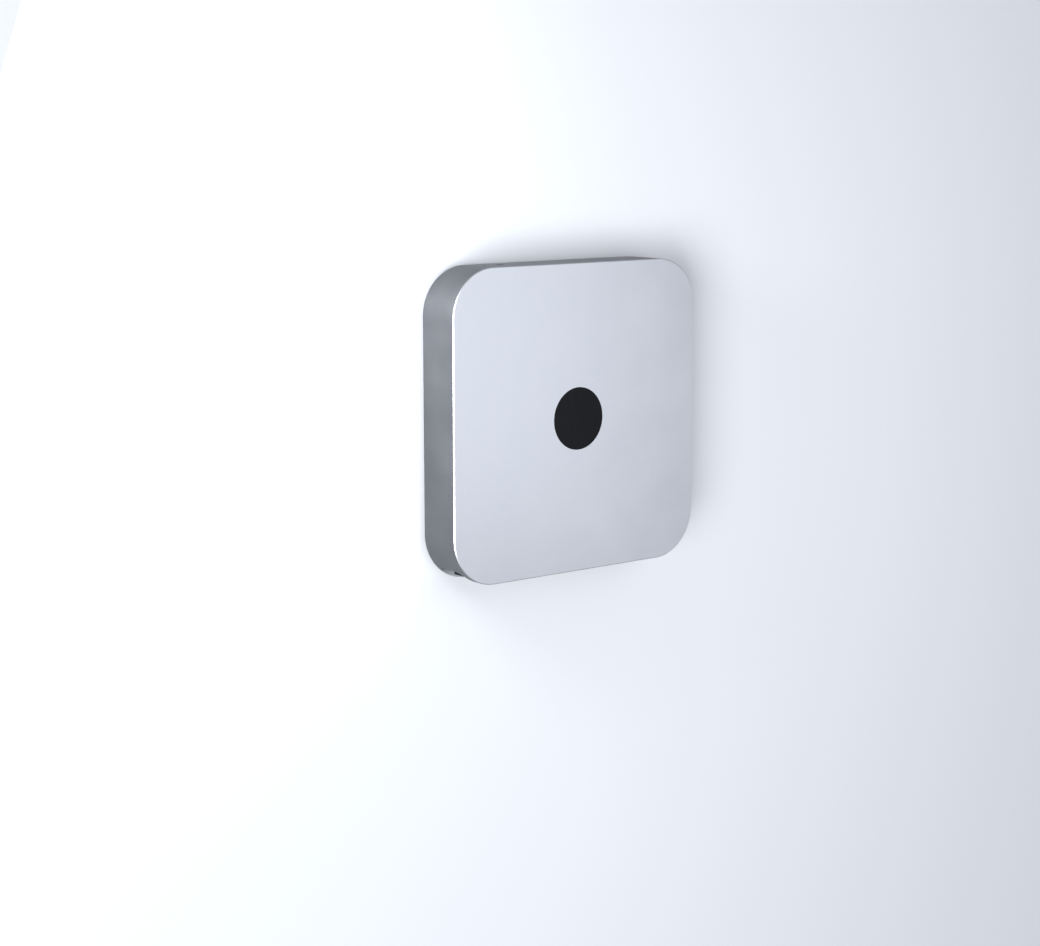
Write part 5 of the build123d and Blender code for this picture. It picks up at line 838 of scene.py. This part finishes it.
# Cooling. A moulded blower with a stamped cover blows through thin fins on a flat copper
# heat pipe, and a thin duct leads the air low under the ports to the rear slot.
blower_finish = grained_finish(
    "blower_plastic", dark=(0.018, 0.018, 0.020), light=(0.034, 0.034, 0.037), rough=(0.40, 0.52),
    grain_size=0.0004, relief=0.00001,
)
copper_finish = grained_finish(
    "pipe_copper", dark=(0.60, 0.30, 0.17), light=(0.80, 0.45, 0.29), rough=(0.24, 0.40), grain_size=0.0006,
    relief=0.000008, metal=1.0, cloud_size=0.010,
)
fin_finish = grained_finish(
    "fin_sheet", dark=(0.60, 0.61, 0.62), light=(0.76, 0.77, 0.78), rough=(0.28, 0.40), grain_size=0.0005,
    relief=0.000006, metal=1.0, cloud_size=0.008, stretch=(1, 1, 0.2),
)
stamped_finish = grained_finish(
    "stamped_steel", dark=(0.46, 0.46, 0.45), light=(0.62, 0.62, 0.60), rough=(0.30, 0.44),
    grain_size=0.0006, relief=0.000008, metal=1.0, cloud_size=0.012, stretch=(0.12, 1, 1),
)
for name in ("fan_housing", "fan_impeller", "fan_duct"):
    finish_node(name, blower_finish)
finish_node("heat_pipe", copper_finish)
finish_node("cold_plate", copper_finish)
finish_node("heat_sink_fins", fin_finish)
for name in ("fan_cover", "drive_lid", "drive_bracket"):
    finish_node(name, stamped_finish)

# Hard drive. A cast aluminium tub with a pressed steel lid, a mirror-bright disc that
# spins on its hub and an arm that swings its heads across the disc.
cast_finish = grained_finish(
    "cast_tub", dark=(0.36, 0.37, 0.38), light=(0.52, 0.53, 0.54), rough=(0.44, 0.58), grain_size=0.0008,
    relief=0.00003, metal=1.0, cloud_size=0.015,
)
mirror_finish = grained_finish(
    "disc_mirror", dark=(0.80, 0.80, 0.81), light=(0.86, 0.86, 0.87), rough=(0.03, 0.06), grain_size=0.002,
    relief=0.0000005, metal=1.0, cloud_size=0.02,
)
finish_node("drive_base", cast_finish)
finish_node("drive_platter", mirror_finish)
finish_node("drive_head_arm", fin_finish)

# Power supply. A vented black case round a brown board with its transformer, capacitors
# and heat spreaders; sleeved leads go to the inlet and to the logic board.
case_finish = grained_finish(
    "supply_case", dark=(0.020, 0.020, 0.021), light=(0.036, 0.036, 0.038), rough=(0.42, 0.55),
    grain_size=0.0006, relief=0.00003,
)
wound_finish = grained_finish(
    "supply_parts", dark=(0.05, 0.045, 0.030), light=(0.09, 0.080, 0.050), rough=(0.38, 0.52),
    grain_size=0.0005, relief=0.00001, cloud_size=0.01,
)
brown_board = board_finish(
    "supply_board", dark=(0.11, 0.062, 0.028), light=(0.16, 0.095, 0.045), track_colour=(0.21, 0.125, 0.06),
    pitch=0.0016,
)
sleeve_finish = grained_finish(
    "lead_sleeve", dark=(0.018, 0.018, 0.019), light=(0.034, 0.034, 0.036), rough=(0.50, 0.65),
    grain_size=0.0004, relief=0.00003, stretch=(1, 0.3, 1),
)
finish_node("power_supply_case", case_finish)
finish_node("power_supply_parts", wound_finish)
finish_node("power_supply_board", brown_board)
finish_node("power_leads", sleeve_finish)

# Speaker. A sealed black box at the front, with a dished cone that faces the bottom
# cover and one ear for its screw.
finish_node("speaker_box", case_finish)

# Radio. A perforated stamped plate under the drive, and the radio card that stands on it
# on two spacers.
finish_node("antenna_plate", stamped_finish)
finish_node("wireless_card", main_board)

# Screws. Small socket heads in blackened steel, which hold the boards, the blower, the
# drive's bracket, the plate, the speaker and the power supply to the shell.
screw_finish = grained_finish(
    "black_oxide", dark=(0.09, 0.09, 0.095), light=(0.17, 0.17, 0.175), rough=(0.32, 0.45),
    grain_size=0.0003, relief=0.000006, metal=1.0, cloud_size=0.004,
)
finish_node("screws", screw_finish)

# Bottom cover. Moulded black plastic with a fine spark texture; it twists off by two
# thumb hollows, and two dots show when it is shut and when it is free.
cover_finish = grained_finish(
    "cover_plastic", dark=(0.014, 0.014, 0.015), light=(0.028, 0.028, 0.030), rough=(0.46, 0.60),
    grain_size=0.0007, relief=0.00006,
)
finish_node("bottom_cover", cover_finish)

# Foot ring. A soft matt rubber moulding set in a groove of the cover, with three fine
# grooves in the face that it stands on and a small round at each edge.
RING_GROOVES = 3
GROOVE_W = 0.0008
GROOVE_DEPTH = 0.0004
RING_STEPS = 160
RING_ROUND = 0.0006
rubber_finish = grained_finish(
    "foot_rubber", dark=(0.020, 0.020, 0.020), light=(0.038, 0.037, 0.036), rough=(0.70, 0.85),
    grain_size=0.0005, relief=0.00003,
)
foot_low, foot_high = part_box("foot_ring")
ring_mesh = node["foot_ring"].data
ring_outer = foot_high.x
ring_inner = min(math.hypot(v.co.x, v.co.y) for v in ring_mesh.vertices)


def lathe(name, outline, steps):
    """Closed ring spun about the upright axis from an outline of (radius, height) points."""
    bpy.ops.object.select_all(action="DESELECT")
    mesh = bpy.data.meshes.new(name)
    points = [(radius, 0, height) for radius, height in outline]
    mesh.from_pydata(points, [(k, (k + 1) % len(points)) for k in range(len(points))], [])
    piece = bpy.data.objects.new(name, mesh)
    bpy.context.scene.collection.objects.link(piece)
    only(piece)
    bpy.ops.object.mode_set(mode="EDIT")
    bpy.ops.mesh.select_all(action="SELECT")
    bpy.ops.mesh.spin(steps=steps, angle=2 * math.pi, center=(0, 0, 0), axis=(0, 0, 1))
    bpy.ops.mesh.select_all(action="SELECT")
    bpy.ops.mesh.remove_doubles(threshold=1e-6)
    bpy.ops.mesh.normals_make_consistent(inside=False)
    bpy.ops.object.mode_set(mode="OBJECT")
    return settle(piece, name)


profile = [(ring_outer, foot_high.z), (ring_inner, foot_high.z), (ring_inner, foot_low.z + RING_ROUND),
           (ring_inner + RING_ROUND, foot_low.z)]
step = (ring_outer - ring_inner) / (RING_GROOVES + 1)
for k in range(RING_GROOVES):
    middle = ring_inner + step * (k + 1)
    profile += [(middle - GROOVE_W / 2, foot_low.z), (middle - GROOVE_W / 4, foot_low.z + GROOVE_DEPTH),
                (middle + GROOVE_W / 4, foot_low.z + GROOVE_DEPTH), (middle + GROOVE_W / 2, foot_low.z)]
profile += [(ring_outer - RING_ROUND, foot_low.z), (ring_outer, foot_low.z + RING_ROUND)]
foot = lathe("grooved_foot_ring", profile, RING_STEPS)
fit_piece(foot, rubber_finish, "cover")
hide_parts("foot_ring")
